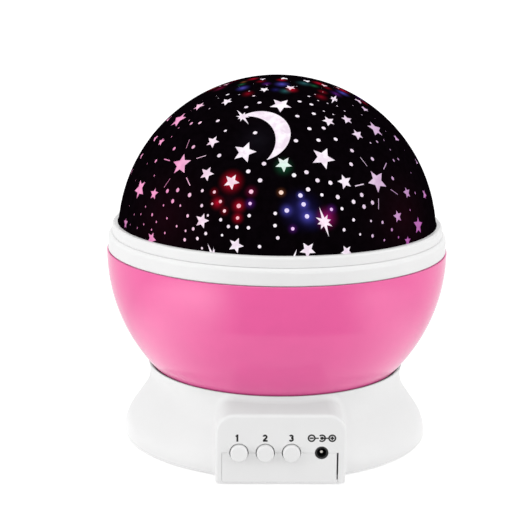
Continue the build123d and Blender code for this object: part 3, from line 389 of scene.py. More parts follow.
@dataclass(frozen=True)
class DrawnMetal:
    """Plated or bare sheet and wire, with fine lines and a few dull stains."""

    name: str
    colour: Colour
    roughness: float = 0.32
    stain_shade: float = 0.86
    stain_roughness: float = 0.12  # more than between the stains
    stretch: Place = (1.0, 1.0, 0.06)
    line_scale: float = 2200.0
    line_depth: float = 0.000008

    def build(self, groups: ShaderGroups) -> Material:
        """Makes the material from the shared shader groups.

        Args:
            groups: The shared shader groups.

        Returns:
            The material.
        """
        material, bench, shader = new_material(self.name)
        streaks = bench.group(groups.streaks, {"Scale": self.line_scale, "Stretch": self.stretch})
        mottle, dull = streaks["Mottle"], self.roughness + self.stain_roughness
        bench.fill(
            shader,
            {
                "Base Color": bench.blend(mottle, shaded(self.colour, self.stain_shade), self.colour),
                "Roughness": bench.spread(mottle, 0.0, 1.0, dull, self.roughness),
                "Normal": bench.bump(streaks["Height"], self.line_depth),
                "Metallic": 1.0,
            },
        )
        return material


@dataclass(frozen=True)
class BoardLaminate:
    """Circuit board: solder mask over copper tracks that show as slightly raised lines."""

    name: str
    mask: Colour
    track: Colour
    track_pitch: float = 0.0024
    track_randomness: float = 0.35
    track_edge: Range = (0.05, 0.09)  # where a track ends, in pitches from its middle
    track_rise: float = 0.00003
    track_roughness: float = 0.28
    mask_roughness: float = 0.38
    mask_shade: float = 0.9
    grain_scale: float = 1500.0

    def build(self, groups: ShaderGroups) -> Material:
        """Makes the material from the shared shader groups.

        Args:
            groups: The shared shader groups.

        Returns:
            The material.
        """
        material, bench, shader = new_material(self.name)
        mottle = bench.group(groups.moulding, {"Scale": self.grain_scale})["Mottle"]
        cells = bench.add(
            "ShaderNodeTexVoronoi",
            {"Vector": bench.place(), "Scale": 1.0 / self.track_pitch, "Randomness": self.track_randomness},
            feature="DISTANCE_TO_EDGE",
            distance="EUCLIDEAN",
        )
        track = bench.spread(cells.outputs["Distance"], *self.track_edge, 1.0, 0.0)
        mask = bench.blend(mottle, shaded(self.mask, self.mask_shade), self.mask)
        bench.fill(
            shader,
            {
                "Base Color": bench.blend(track, mask, self.track),
                "Normal": bench.bump(track, self.track_rise),
                "Roughness": bench.spread(track, 0.0, 1.0, self.mask_roughness, self.track_roughness),
            },
        )
        return material


@dataclass(frozen=True)
class DiodeEpoxy:
    """Epoxy of a light-emitting diode that is switched on: brightest at its top."""

    name: str
    tint: Colour
    glow: Colour
    foot_z: float
    top_z: float
    foot_share: float = 0.15  # of the full glow, at the foot
    dim_shade: float = 0.2  # of the glow's colour, where it is dimmest
    mottle_shade: float = 0.94
    grain_scale: float = 700.0
    roughness: float = 0.08
    coat: float = 0.5

    def build(self, groups: ShaderGroups) -> Material:
        """Makes the material from the shared shader groups.

        Args:
            groups: The shared shader groups.

        Returns:
            The material.
        """
        material, bench, shader = new_material(self.name)
        mottle = bench.group(groups.moulding, {"Scale": self.grain_scale})["Mottle"]
        height = bench.add("ShaderNodeSeparateXYZ", {"Vector": bench.place()}).outputs["Z"]
        rise = bench.spread(height, self.foot_z, self.top_z, self.foot_share, 1.0)
        bench.fill(
            shader,
            {
                "Base Color": bench.blend(mottle, shaded(self.tint, self.mottle_shade), self.tint),
                "Emission Color": bench.blend(rise, shaded(self.glow, self.dim_shade), self.glow),
                "Emission Strength": 1.0,
                "Roughness": self.roughness,
                "Coat Weight": self.coat,
            },
        )
        return material


# ---------------------------------------------------------------- shared making


def dress(nodes: Iterable[Object], material: Material) -> None:
    """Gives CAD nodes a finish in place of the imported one.

    Args:
        nodes: The CAD nodes.
        material: Their new finish.
    """
    for node in nodes:
        if not node.data.materials:
            node.data.materials.append(material)
        for slot in node.material_slots:
            slot.material = material


def new_piece(name: str, mesh: Mesh, material: Material, body: Body) -> Object:
    """Turns a mesh into a finished piece that rides on a body.

    Args:
        name: The piece's name.
        mesh: Its mesh, with its place in its vertices.
        material: Its finish.
        body: The body that it moves with.

    Returns:
        The piece's object.
    """
    piece = bpy.data.objects.new(name, mesh)
    bpy.context.scene.collection.objects.link(piece)
    mesh.materials.clear()
    mesh.materials.append(material)
    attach(piece, body.value)
    LOG.info("%s: %d faces on %s", name, len(mesh.polygons), body.value)
    return piece


def islands(node: Object) -> list[tuple[Vector, Vector]]:
    """Boxes of a CAD node's separate solids.

    Args:
        node: The CAD node.

    Returns:
        The lowest and highest corner of each, in order of X, then Y, then Z.
    """
    shape = bmesh.new()
    shape.from_mesh(node.data)
    bmesh.ops.remove_doubles(shape, verts=shape.verts, dist=1e-6)
    boxes: list[tuple[Vector, Vector]] = []
    seen: set[int] = set()
    shape.verts.index_update()
    for start in shape.verts:
        if start.index in seen:
            continue
        seen.add(start.index)
        reached, waiting = [], [start]
        while waiting:
            vertex = waiting.pop()
            reached.append(vertex.co)
            for edge in vertex.link_edges:
                other = edge.other_vert(vertex)
                if other.index not in seen:
                    seen.add(other.index)
                    waiting.append(other)
        low = Vector([min(co[axis] for co in reached) for axis in range(3)])
        high = Vector([max(co[axis] for co in reached) for axis in range(3)])
        boxes.append((low, high))
    shape.free()
    return sorted(boxes, key=lambda box: tuple(round(value, 6) for value in box[0]))


def seated_mesh(carrier: Object) -> Mesh:
    """Takes the plain mesh of an object's evaluated result, and removes the object.

    Args:
        carrier: The object, with its modifiers.

    Returns:
        The mesh.
    """
    depsgraph = bpy.context.evaluated_depsgraph_get()
    mesh = bpy.data.meshes.new_from_object(carrier.evaluated_get(depsgraph))
    bpy.data.objects.remove(carrier)
    return mesh


def run_tree(
    name: str,
    tree: NodeTree,
    places: Sequence[Vector],
    facings: Sequence[Vector],
    values: dict[str, object],
) -> Mesh:
    """Runs a geometry tree on a set of points.

    Args:
        name: A name for the working object.
        tree: The geometry tree.
        places: Where the repeated shape stands.
        facings: The way its own +Z looks at each place.
        values: Values for the tree's named inputs.

    Returns:
        The finished plain mesh.
    """
    mesh = bpy.data.meshes.new(f"{name}_points")
    mesh.from_pydata([tuple(place) for place in places], [], [])
    facing = mesh.attributes.new("facing", "FLOAT_VECTOR", "POINT")
    facing.data.foreach_set("vector", [value for vector in facings for value in vector])
    carrier = bpy.data.objects.new(f"{name}_carrier", mesh)
    bpy.context.scene.collection.objects.link(carrier)
    modifier = carrier.modifiers.new("row", "NODES")
    modifier.node_group = tree
    for socket in tree.interface.items_tree:
        if socket.item_type == "SOCKET" and socket.in_out == "INPUT" and socket.name in values:
            modifier[socket.identifier] = values[socket.name]
    bpy.context.view_layer.update()
    return seated_mesh(carrier)


class GeometryTree:
    """A geometry tree under construction, with its named inputs."""

    def __init__(self, name: str, sizes: dict[str, float | int]) -> None:
        """Makes the tree with its inputs and its output.

        Args:
            name: The tree's name.
            sizes: Names and default values of its size inputs, in metres or counts.
        """
        tree = bpy.data.node_groups.new(name, "GeometryNodeTree")
        tree.interface.new_socket("Points", in_out="INPUT", socket_type="NodeSocketGeometry")
        for size_name, default in sizes.items():
            kind = "NodeSocketInt" if isinstance(default, int) else "NodeSocketFloat"
            socket = tree.interface.new_socket(size_name, in_out="INPUT", socket_type=kind)
            socket.default_value = default
        tree.interface.new_socket("Material", in_out="INPUT", socket_type="NodeSocketMaterial")
        tree.interface.new_socket("Geometry", in_out="OUTPUT", socket_type="NodeSocketGeometry")
        self.bench = Bench(tree)
        self.given = self.bench.add("NodeGroupInput").outputs

    def vector(self, x: object = 0.0, y: object = 0.0, z: object = 0.0) -> Socket:
        """Joins three numbers or outputs into a vector."""
        return self.bench.add("ShaderNodeCombineXYZ", {"X": x, "Y": y, "Z": z}).outputs[0]

    def raised(self, mesh: Socket, height: Socket) -> Socket:
        """Moves a mesh up inside the tree."""
        inputs = {"Geometry": mesh, "Translation": self.vector(z=height)}
        return self.bench.add("GeometryNodeTransform", inputs).outputs[0]

    def joined(self, *meshes: Socket) -> Socket:
        """Joins meshes inside the tree.

        Args:
            *meshes: The meshes, in order.

        Returns:
            The joined mesh.
        """
        node = self.bench.add("GeometryNodeJoinGeometry")
        for mesh in meshes:
            self.bench.tree.links.new(mesh, node.inputs[0])
        return node.outputs[0]

    def creased(self, mesh: Socket, limit: float = 0.6) -> Socket:
        """Shades faces smooth and keeps the sharper edges.

        Args:
            mesh: The mesh to shade.
            limit: The angle of an edge, in radians, from which it stays sharp.

        Returns:
            The shaded mesh.
        """
        bench = self.bench
        smooth = bench.add("GeometryNodeSetShadeSmooth", {"Geometry": mesh}, domain="FACE").outputs[0]
        angle = bench.add("GeometryNodeInputMeshEdgeAngle").outputs["Unsigned Angle"]
        inputs = {"Geometry": smooth, "Shade Smooth": bench.math("LESS_THAN", angle, limit)}
        return bench.add("GeometryNodeSetShadeSmooth", inputs, domain="EDGE").outputs[0]

    def finish(self, shape: Socket) -> NodeTree:
        """Puts the shape on every point, then ends in real meshes with their material.

        Args:
            shape: One copy of the repeated shape, looking along +Z.

        Returns:
            The finished tree.
        """
        bench = self.bench
        facing = bench.add(
            "GeometryNodeInputNamedAttribute", {"Name": "facing"}, data_type="FLOAT_VECTOR"
        ).outputs[0]
        turn = bench.add("FunctionNodeAlignRotationToVector", {"Vector": facing}, axis="Z").outputs[0]
        placed = bench.add(
            "GeometryNodeInstanceOnPoints",
            {"Points": self.given["Points"], "Instance": shape, "Rotation": turn},
        ).outputs[0]
        real = bench.add("GeometryNodeRealizeInstances", {"Geometry": placed}).outputs[0]
        inputs = {"Geometry": real, "Material": self.given["Material"]}
        painted = bench.add("GeometryNodeSetMaterial", inputs).outputs[0]
        bench.add("NodeGroupOutput", {0: painted})
        return bench.tree


# ---------------------------------------------------------------- screws


@dataclass
class ScrewKind:
    """One size of cross-recessed screw. Sizes are in millimetres."""

    node: str
    body: Body
    facing: Place
    head_radius: float
    head_height: float
    shank_radius: float
    shank_length: float
    style: HeadStyle = HeadStyle.PAN


@dataclass
class Screws:
    """Every screw of the lamp, made by one geometry tree and laid on the CAD screws' places.

    Sizes are in millimetres. The recess and the rounding are shares of the head's radius, and the
    recess's depth of the head's height.
    """

    sides: int = 36
    thread_pitch: float = 0.6
    thread_depth: float = 0.12
    thread_steps: int = 24  # in a turn
    ridge_sides: int = 4
    recess_reach: float = 1.2
    recess_width: float = 0.32
    recess_depth: float = 0.55
    rounding: float = 0.82
    kinds: list[ScrewKind] = field(
        default_factory=lambda: [
            ScrewKind("housing_screws", Body.BASE, (0, 0, -1), 2.8, 1.6, 1.45, 8.0),
            ScrewKind("door_screws", Body.DOOR, (0, 0, -1), 2.0, 1.0, 1.0, 4.4),
            ScrewKind("motor_screws", Body.BASE, (0, 0, -1), 1.8, 1.2, 0.95, 2.8),
            ScrewKind("board_screws", Body.BASE, (0, 1, 0), 1.8, 1.2, 0.9, 5.0),
            ScrewKind("turntable_screws", Body.GLOBE, (0, 0, 1), 1.8, 1.2, 0.95, 4.4),
            ScrewKind(
                "post_screws", Body.BASE, (0, 0, 1), 1.8, 0.85, 0.95, 2.75, HeadStyle.COUNTERSUNK
            ),
        ]
    )

    def sizes(self, kind: ScrewKind) -> dict[str, float | int]:
        """Values of the geometry tree's size inputs for one kind of screw.

        Args:
            kind: The kind of screw.

        Returns:
            Input name to its value, in metres or a count.
        """
        countersunk = kind.style is HeadStyle.COUNTERSUNK
        lengths = {
            "Head Top Radius": kind.head_radius * (1 if countersunk else self.rounding),
            "Head Foot Radius": kind.shank_radius if countersunk else kind.head_radius,
            "Head Height": kind.head_height,
            "Shank Radius": kind.shank_radius,
            "Shank Length": kind.shank_length,
            "Thread Pitch": self.thread_pitch,
            "Thread Depth": self.thread_depth,
            "Recess Reach": kind.head_radius * self.recess_reach,
            "Recess Width": kind.head_radius * self.recess_width,
            "Recess Depth": kind.head_height * self.recess_depth,
        }
        return {"Sides": self.sides, **{name: length * MM for name, length in lengths.items()}}

    def tree(self) -> NodeTree:
        """Builds the geometry tree of one screw, standing with the top of its head at the origin.

        Returns:
            The finished tree.
        """
        plan = GeometryTree("screw_row", self.sizes(self.kinds[0]))
        down = plan.bench.math("MULTIPLY", plan.given["Head Height"], -1.0)
        shape = plan.joined(self._head(plan, down), *self._shank(plan, down))
        return plan.finish(plan.creased(shape))

    @staticmethod
    def _head(plan: GeometryTree, down: Socket) -> Socket:
        """Head with its cross recess.

        Args:
            plan: The tree under construction.
            down: Height of the head's foot.

        Returns:
            The head's mesh.
        """
        bench, given = plan.bench, plan.given
        head = bench.add(
            "GeometryNodeMeshCone",
            {
                "Vertices": given["Sides"],
                "Radius Top": given["Head Top Radius"],
                "Radius Bottom": given["Head Foot Radius"],
                "Depth": given["Head Height"],
            },
        ).outputs["Mesh"]
        inputs = {"Mesh 1": plan.raised(head, down)}
        cut = bench.add("GeometryNodeMeshBoolean", inputs, operation="DIFFERENCE")
        reach, width = given["Recess Reach"], given["Recess Width"]
        deep = bench.math("MULTIPLY", given["Recess Depth"], 2.0)
        for size in ((reach, width), (width, reach)):
            arm = bench.add("GeometryNodeMeshCube", {"Size": plan.vector(*size, deep)})
            bench.tree.links.new(arm.outputs["Mesh"], cut.inputs["Mesh 2"])
        return cut.outputs["Mesh"]

    def _shank(self, plan: GeometryTree, down: Socket) -> tuple[Socket, Socket]:
        """Core and thread below the head.

        Args:
            plan: The tree under construction.
            down: Height of the head's foot.

        Returns:
            The core's mesh and the thread's.
        """
        bench, given = plan.bench, plan.given
        length, pitch, depth = given["Shank Length"], given["Thread Pitch"], given["Thread Depth"]
        radius = bench.math("SUBTRACT", given["Shank Radius"], depth)
        core = bench.add(
            "GeometryNodeMeshCylinder", {"Vertices": given["Sides"], "Radius": radius, "Depth": length}
        ).outputs["Mesh"]
        middle = bench.math("SUBTRACT", down, bench.math("MULTIPLY", length, 0.5))
        threaded = bench.math("SUBTRACT", length, pitch)
        spiral = bench.add(
            "GeometryNodeCurveSpiral",
            {
                "Resolution": self.thread_steps,
                "Rotations": bench.math("DIVIDE", threaded, pitch),
                "Start Radius": radius,
                "End Radius": radius,
                "Height": threaded,
            },
        ).outputs[0]
        ridge = bench.add(
            "GeometryNodeCurvePrimitiveCircle", {"Resolution": self.ridge_sides, "Radius": depth}
        ).outputs["Curve"]
        inputs = {"Curve": spiral, "Profile Curve": ridge, "Fill Caps": True}
        thread = bench.add("GeometryNodeCurveToMesh", inputs).outputs[0]
        foot = bench.math("SUBTRACT", down, bench.math("SUBTRACT", length, depth))
        return plan.raised(core, middle), plan.raised(thread, foot)

    def build(self, nodes: dict[str, Object], steel: Material) -> None:
        """Makes the screws of every kind in place of their CAD nodes.

        Args:
            nodes: The CAD nodes by name.
            steel: The screws' finish.
        """
        tree = self.tree()
        for kind in self.kinds:
            facing = Vector(kind.facing)
            axis = max(range(3), key=lambda index: abs(facing[index]))
            places = []
            for low, high in islands(nodes[kind.node]):
                place = (low + high) / 2
                place[axis] = (high if facing[axis] > 0 else low)[axis]
                places.append(place)
            values = {**self.sizes(kind), "Material": steel}
            mesh = run_tree(kind.node, tree, places, [facing] * len(places), values)
            piece = new_piece(f"{kind.node}_cut", mesh, steel, kind.body)
            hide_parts(kind.node)


# ---------------------------------------------------------------- marks on the panel


@dataclass
class PanelMarks:
    """Printed marks over the buttons and over the power inlet.

    Sizes are in millimetres and angles in degrees. Outlines are drawn in the panel's own x and z.
    """

    ink_height: float = 0.03

    digit_xs: tuple[float, float, float] = (-15.7, -5.75, 3.6)
    digit_middle_z: float = 17.75
    digit_height: float = 2.7
    digit_weight: float = 0.66
    bowl_share: float = 0.56  # radius of a digit's bowl, of its half height
    flag_share: float = 0.8  # reach of the 1's flag, of a bowl's radius
    flag_drop: float = 0.5
    stem_shift: float = 0.1
    crown: Range = (170.0, -35.0)  # of the 2
    bowl_difference: float = 0.06  # share by which the 3's upper bowl is smaller and its lower larger
    bowl_opening: float = 155.0
    arc_steps: int = 20

    symbol_middle: Point = (14.6, 17.75)
    symbol_pitch: float = 3.7
    ring_radius: float = 1.15
    line_width: float = 0.56
    sign_share: float = 1.2  # length of plus and minus, of a ring's radius
    cup_sweep: float = 270.0
    core_margin: float = 0.05  # of the core's radius, past half a line
    core_steps: int = 24
    bridge_share: float = 0.8  # of a line's width

    def _arc(self, middle: Point, radius: float, start: float, end: float) -> list[Point]:
        """Points along an arc between two angles.

        Args:
            middle: The arc's middle.
            radius: Its radius.
            start: The angle of its first point.
            end: The angle of its last point.

        Returns:
            The points, in order.
        """
        turns = [
            math.radians(start + (end - start) * step / self.arc_steps)
            for step in range(self.arc_steps + 1)
        ]
        return [(middle[0] + radius * math.cos(turn), middle[1] + radius * math.sin(turn)) for turn in turns]

    def _row(self, shape: bmesh.types.BMesh, point: Vector, side: Vector) -> list[bmesh.types.BMVert]:
        """Adds the four corners of a line's cross-section.

        Args:
            shape: The mark under construction.
            point: The line's middle.
            side: From there to the line's edge.

        Returns:
            The corners, in order around the section.
        """
        return [
            shape.verts.new((point.x + way * side.x, depth * self.ink_height, point.y + way * side.y))
            for way, depth in ((-1, -0.5), (1, -0.5), (1, 0.5), (-1, 0.5))
        ]

    @staticmethod
    def _strip(shape: bmesh.types.BMesh, rows: list[list[bmesh.types.BMVert]], closed: bool) -> None:
        """Joins cross-sections into a solid line, with ends where it isn't closed.

        Args:
            shape: The mark under construction.
            rows: The corners of each cross-section, in order.
            closed: Whether the last section joins the first.
        """
        for first, second in zip(rows, rows[1:] + rows[:1] if closed else rows[1:]):
            for side, corner in enumerate(first):
                after = (side + 1) % len(first)
                shape.faces.new((corner, first[after], second[after], second[side]))
        if not closed:
            shape.faces.new(rows[0][::-1])
            shape.faces.new(rows[-1])

    def _stroke(self, shape: bmesh.types.BMesh, line: list[Point], weight: float) -> None:
        """Adds a flat stroke of one width along a line.

        Args:
            shape: The mark under construction.
            line: Points along the stroke's middle.
            weight: The stroke's width.
        """
        points = [Vector(point) for point in line]
        rows = []
        for before, point, after in zip(points[:1] + points, points, points[1:] + points[-1:]):
            along = (after - before).normalized()
            rows.append(self._row(shape, point, Vector((-along.y, along.x)) * weight / 2))
        self._strip(shape, rows, closed=False)

    def _bar(self, shape: bmesh.types.BMesh, middle: Point, size: Point) -> None:
        """Adds a flat bar.

        Args:
            shape: The mark under construction.
            middle: The bar's middle.
            size: Its width and height.
        """
        made = bmesh.ops.create_cube(shape, size=1.0)
        place = Matrix.Translation((middle[0], 0, middle[1]))
        scale = Matrix.Diagonal((size[0], self.ink_height, size[1], 1))
        bmesh.ops.transform(shape, matrix=place @ scale, verts=made["verts"])

    def _ring(
        self,
        shape: bmesh.types.BMesh,
        middle: Point,
        radius: float,
        start: float = 0.0,
        sweep: float = 360.0,
        steps: int = 40,
    ) -> None:
        """Adds a flat ring or an arc of one.

        Args:
            shape: The mark under construction.
            middle: The ring's middle.
            radius: Its radius at the middle of its line.
            start: The angle at which an arc starts.
            sweep: The angle that it covers, 360 for a closed ring.
            steps: Straight pieces in it.
        """
        closed = sweep >= 360
        rows = []
        for step in range(steps if closed else steps + 1):
            turn = math.radians(start + sweep * step / steps)
            outward = Vector((math.cos(turn), math.sin(turn)))
            point = Vector(middle) + outward * radius
            rows.append(self._row(shape, point, outward * self.line_width / 2))
        self._strip(shape, rows, closed)

    def _printed(self, shape: bmesh.types.BMesh, name: str, middle: Point, face_y: float) -> Mesh:
        """Moves a flat mark on to the panel's face.

        Args:
            shape: The mark, in millimetres about its own middle. It is freed.
            name: The mesh's name.
            middle: The mark's middle on the panel.
            face_y: Y of the panel's face, in metres.

        Returns:
            The mesh in place, in metres.
        """
        bmesh.ops.recalc_face_normals(shape, faces=shape.faces)
        place = Matrix.Translation((middle[0] * MM, face_y - self.ink_height * MM / 2, middle[1] * MM))
        bmesh.ops.transform(shape, matrix=place @ Matrix.Scale(MM, 4), verts=shape.verts)
        mesh = bpy.data.meshes.new(name)
        shape.to_mesh(mesh)
        shape.free()
        return mesh

    def digits(self, face_y: float) -> Mesh:
        """Digits 1 to 3, drawn in strokes on the panel's face.

        Args:
            face_y: Y of the panel's face, in metres.

        Returns:
            One mesh with the digits in place.
        """
        shape = bmesh.new()
        one, two, three = self.digit_xs
        weight, top = self.digit_weight, (self.digit_height - self.digit_weight) / 2
        bowl, stem_x = top * self.bowl_share, one + self.stem_shift
        upper, lower = bowl * (1 - self.bowl_difference), bowl * (1 + self.bowl_difference)
        for line in (
            [(one - bowl * self.flag_share, top - self.flag_drop), (stem_x, top)],
            [(stem_x, top + weight / 2), (stem_x, -top - weight / 2)],
            [*self._arc((two, top - bowl), bowl, *self.crown), (two - bowl, -top)],
            [(two - bowl - weight / 4, -top), (two + bowl + weight / 2, -top)],
            self._arc((three, top - upper), upper, self.bowl_opening, -90),
            self._arc((three, lower - top), lower, 90, -self.bowl_opening),
        ):
            self._stroke(shape, line, weight)
        return self._printed(shape, "digits", (0.0, self.digit_middle_z), face_y)

    def symbol(self, face_y: float) -> Mesh:
        """The common mark of a centre-positive direct-current inlet.

        Args:
            face_y: Y of the panel's face, in metres.

        Returns:
            The mesh in place.
        """
        shape = bmesh.new()
        pitch, radius, line = self.symbol_pitch, self.ring_radius, self.line_width
        sign, bridge = self.sign_share * radius, self.bridge_share * line
        for side in (-1, 1):
            self._ring(shape, (side * pitch, 0), radius)
            self._bar(shape, (side * pitch, 0), (sign, line))
        self._bar(shape, (pitch, 0), (line, sign))
        self._ring(shape, (0, 0), radius, -self.cup_sweep / 2, self.cup_sweep)
        self._ring(shape, (0, 0), line / 2 + self.core_margin, steps=self.core_steps)
        self._bar(shape, (-pitch / 2, 0), (pitch - 2 * radius, bridge))
        self._bar(shape, ((pitch - radius) / 2, 0), (pitch - radius, bridge))
        return self._printed(shape, "inlet_mark", self.symbol_middle, face_y)

    def build(self, ink: Material) -> None:
        """Makes the marks on the panel's face.

        Args:
            ink: Their finish.
        """
        face_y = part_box("bottom_cover")[0].y
        new_piece("button_digits", self.digits(face_y), ink, Body.BASE)
        new_piece("inlet_mark", self.symbol(face_y), ink, Body.BASE)


# ---------------------------------------------------------------- dome


class Bleed(Enum):
    """Colours of light that bleeds through the print, and what they make of a window there."""

    RED = ((0.85, 0.004, 0.03), (1.0, 0.8, 0.84))
    SCARLET = ((0.5, 0.003, 0.02), (1.0, 0.45, 0.5))
    EMBER = ((0.22, 0.002, 0.01), (1.0, 0.6, 0.66))
    ROSE = ((0.16, 0.004, 0.035), (1.0, 0.5, 0.68))
    VIOLET = ((0.09, 0.01, 0.18), (0.86, 0.5, 0.95))
    BLUE = ((0.08, 0.07, 0.46), (0.74, 0.68, 1.0))
    NAVY = ((0.012, 0.012, 0.1), None)
    MAGENTA = ((0.4, 0.01, 0.18), (1.0, 0.82, 0.92))
    AMBER = ((0.2, 0.06, 0.02), (1.0, 0.72, 0.5))
    GREEN = ((0.008, 0.1, 0.04), (0.66, 0.95, 0.78))
    TEAL = ((0.02, 0.1, 0.11), (0.8, 1.0, 0.95))
    WINE = ((0.007, 0.0006, 0.002), None)
    DUSK = ((0.004, 0.004, 0.006), None)

    @property
    def on_print(self) -> Colour:
        """What the print shows."""
        return self.value[0]

    @property
    def in_window(self) -> Colour | None:
        """What a window shows in the middle of the patch, if it shows any of it."""
        return self.value[1]


@dataclass(frozen=True)
class LightLeak:
    """A soft patch of coloured light on the dome. Angles in degrees, reach in millimetres."""

    azimuth: float
    elevation: float
    reach: float
    bleed: Bleed


@dataclass(frozen=True)
class SideTint:
    """Painted tint of the lamp's light in the windows towards one side, with the cosines at which it starts
    and is full.
    """

    direction: Place
    start: float
    full: float
    tint: Colour


@dataclass
class Dome:
    """The lit dome: a glowing shell that shows through the windows of its black print.

    Lengths are in millimetres, except for the grains' scales, in noise cells per metre, and depths.
    """

    centre_z: float = 78.45
    radius: float = 61.25
    light_ahead: Colour = (0.95, 0.9, 0.95)
    tints: tuple[SideTint, ...] = (
        SideTint((-1.0, 0.0, 0.1), 0.4, 0.72, (0.88, 0.28, 0.55)),
        SideTint((-0.62, 0.0, -0.78), 0.34, 0.56, (0.36, 0.06, 0.28)),
        SideTint((1.0, 0.0, 0.1), 0.3, 0.8, (0.5, 0.26, 0.52)),
        SideTint((0.62, 0.0, -0.78), 0.12, 0.37, (0.38, 0.055, 0.34)),
    )
    window_falloff: float = 0.7
    print_falloff: float = 2.6

    shell_tones: tuple[Colour, Colour] = ((0.07, 0.055, 0.07), (0.09, 0.07, 0.09))
    shell_grain_scale: float = 900.0
    shell_grain_depth: float = 0.00001
    shell_roughness: float = 0.35
    shell_specular: float = 0.1
    cloud_tones: tuple[Colour, Colour] = ((0.84, 0.76, 0.83), (1.0, 1.0, 1.0))
    cloud_scale: float = 420.0
    cloud_detail: float = 3.0
    cloud_range: Range = (0.35, 0.65)

    print_glow: Colour = (0.0005, 0.0, 0.0003)
    print_tones: tuple[Colour, Colour] = ((0.0012, 0.0008, 0.0012), (0.0022, 0.0014, 0.0022))
    print_grain_scale: float = 1400.0
    print_grain_depth: float = 0.000004
    print_roughness: float = 0.5

    leaks: tuple[LightLeak, ...] = tuple(
        LightLeak(*row)
        for row in (
            # low in front: red on one side, blue and magenta on the other
            (-20, 29, 5.8, Bleed.RED), (-26, 25, 2.6, Bleed.EMBER), (-24, 21.5, 3.6, Bleed.SCARLET),
            (-16, 21, 3.8, Bleed.SCARLET), (-16, 17, 3.0, Bleed.SCARLET), (-21, 19, 2.6, Bleed.EMBER),
            (-20, 23, 10.0, Bleed.WINE), (-12, 26, 3.4, Bleed.ROSE), (-12, 22, 3.0, Bleed.VIOLET),
            (7, 22, 3.4, Bleed.BLUE), (1, 20, 3.6, Bleed.BLUE), (8, 18, 4.2, Bleed.BLUE),
            (6, 25, 2.4, Bleed.BLUE), (6, 20, 10.0, Bleed.NAVY), (10, 17, 6.0, Bleed.NAVY),
            (3, 14, 2.6, Bleed.VIOLET), (14.8, 17.2, 5.6, Bleed.MAGENTA), (17, 20, 3.0, Bleed.VIOLET),
            (-1, 26, 2.6, Bleed.AMBER), (0, 35, 5.0, Bleed.GREEN), (-12, 45, 14.0, Bleed.DUSK),
            # around the top, from left to right
            (-46, 71.5, 3.6, Bleed.BLUE), (-32, 68, 3.4, Bleed.EMBER), (-58, 74, 2.6, Bleed.GREEN),
            (-66, 76, 2.4, Bleed.AMBER), (-88, 71, 4.0, Bleed.ROSE), (-100, 74, 3.6, Bleed.EMBER),
            (-94, 66, 5.0, Bleed.EMBER), (-78, 68, 4.0, Bleed.ROSE), (92, 66, 4.0, Bleed.ROSE),
            (-70, 80, 3.4, Bleed.SCARLET), (-38, 79, 3.0, Bleed.EMBER), (-22, 77, 2.8, Bleed.VIOLET),
            (2, 77, 4.0, Bleed.BLUE), (4, 82, 3.0, Bleed.SCARLET), (-6, 72, 3.0, Bleed.NAVY),
            (4, 71, 3.4, Bleed.TEAL), (12, 72, 3.4, Bleed.SCARLET), (40, 77, 4.4, Bleed.TEAL),
            (48, 74, 3.0, Bleed.GREEN), (68, 75, 4.0, Bleed.SCARLET), (62, 71, 3.0, Bleed.EMBER),
            (45, 69, 3.0, Bleed.EMBER), (36, 66, 3.6, Bleed.EMBER), (70, 66, 4.0, Bleed.BLUE),
            (58, 66.5, 3.6, Bleed.VIOLET), (82, 67, 4.4, Bleed.SCARLET), (88, 60, 4.0, Bleed.VIOLET),
            (80, 58, 3.0, Bleed.EMBER),
            # wide and faint at both sides
            (-45, 14, 34.0, Bleed.WINE), (48, 14, 30.0, Bleed.WINE),
        )
    )

    def place(self, azimuth: float, elevation: float) -> Vector:
        """Point on the dome's surface.

        Args:
            azimuth: Degrees from the front, to the right.
            elevation: Degrees above the dome's centre.

        Returns:
            The point, in metres.
        """
        turn, rise = math.radians(azimuth), math.radians(elevation)
        outward = Vector(
            (math.sin(turn) * math.cos(rise), -math.cos(turn) * math.cos(rise), math.sin(rise))
        )
        return (Vector((0, 0, self.centre_z)) + outward * self.radius) * MM

    def halo(self, bench: Bench, groups: ShaderGroups, leak: LightLeak, falloff: float) -> Socket:
        """Places the mask of one leak.

        Args:
            bench: The bench to work on.
            groups: The shared shader groups.
            leak: The leak.
            falloff: How fast the mask falls from the leak's middle.

        Returns:
            The mask.
        """
        middle = self.place(leak.azimuth, leak.elevation)
        inputs = {"Middle": middle, "Reach": leak.reach * MM, "Falloff": falloff}
        return bench.group(groups.halo, inputs)["Mask"]

    def glow(self, bench: Bench, groups: ShaderGroups) -> Socket:
        """Painted colour of the lamp's light in the windows: white ahead, pink and lilac at the sides.

        Args:
            bench: The bench on the shell's material.
            groups: The shared shader groups.

        Returns:
            The colour output.
        """
        colour: object = self.light_ahead
        for side in self.tints:
            inputs = {
                "Centre": (0.0, 0.0, self.centre_z * MM),
                "Direction": side.direction,
                "Start": side.start,
                "End": side.full,
            }
            colour = bench.blend(bench.group(groups.lobe, inputs)["Mask"], colour, side.tint)
        for leak in self.leaks:
            if leak.bleed.in_window:
                mask = self.halo(bench, groups, leak, self.window_falloff)
                colour = bench.blend(mask, colour, leak.bleed.in_window)
        return colour

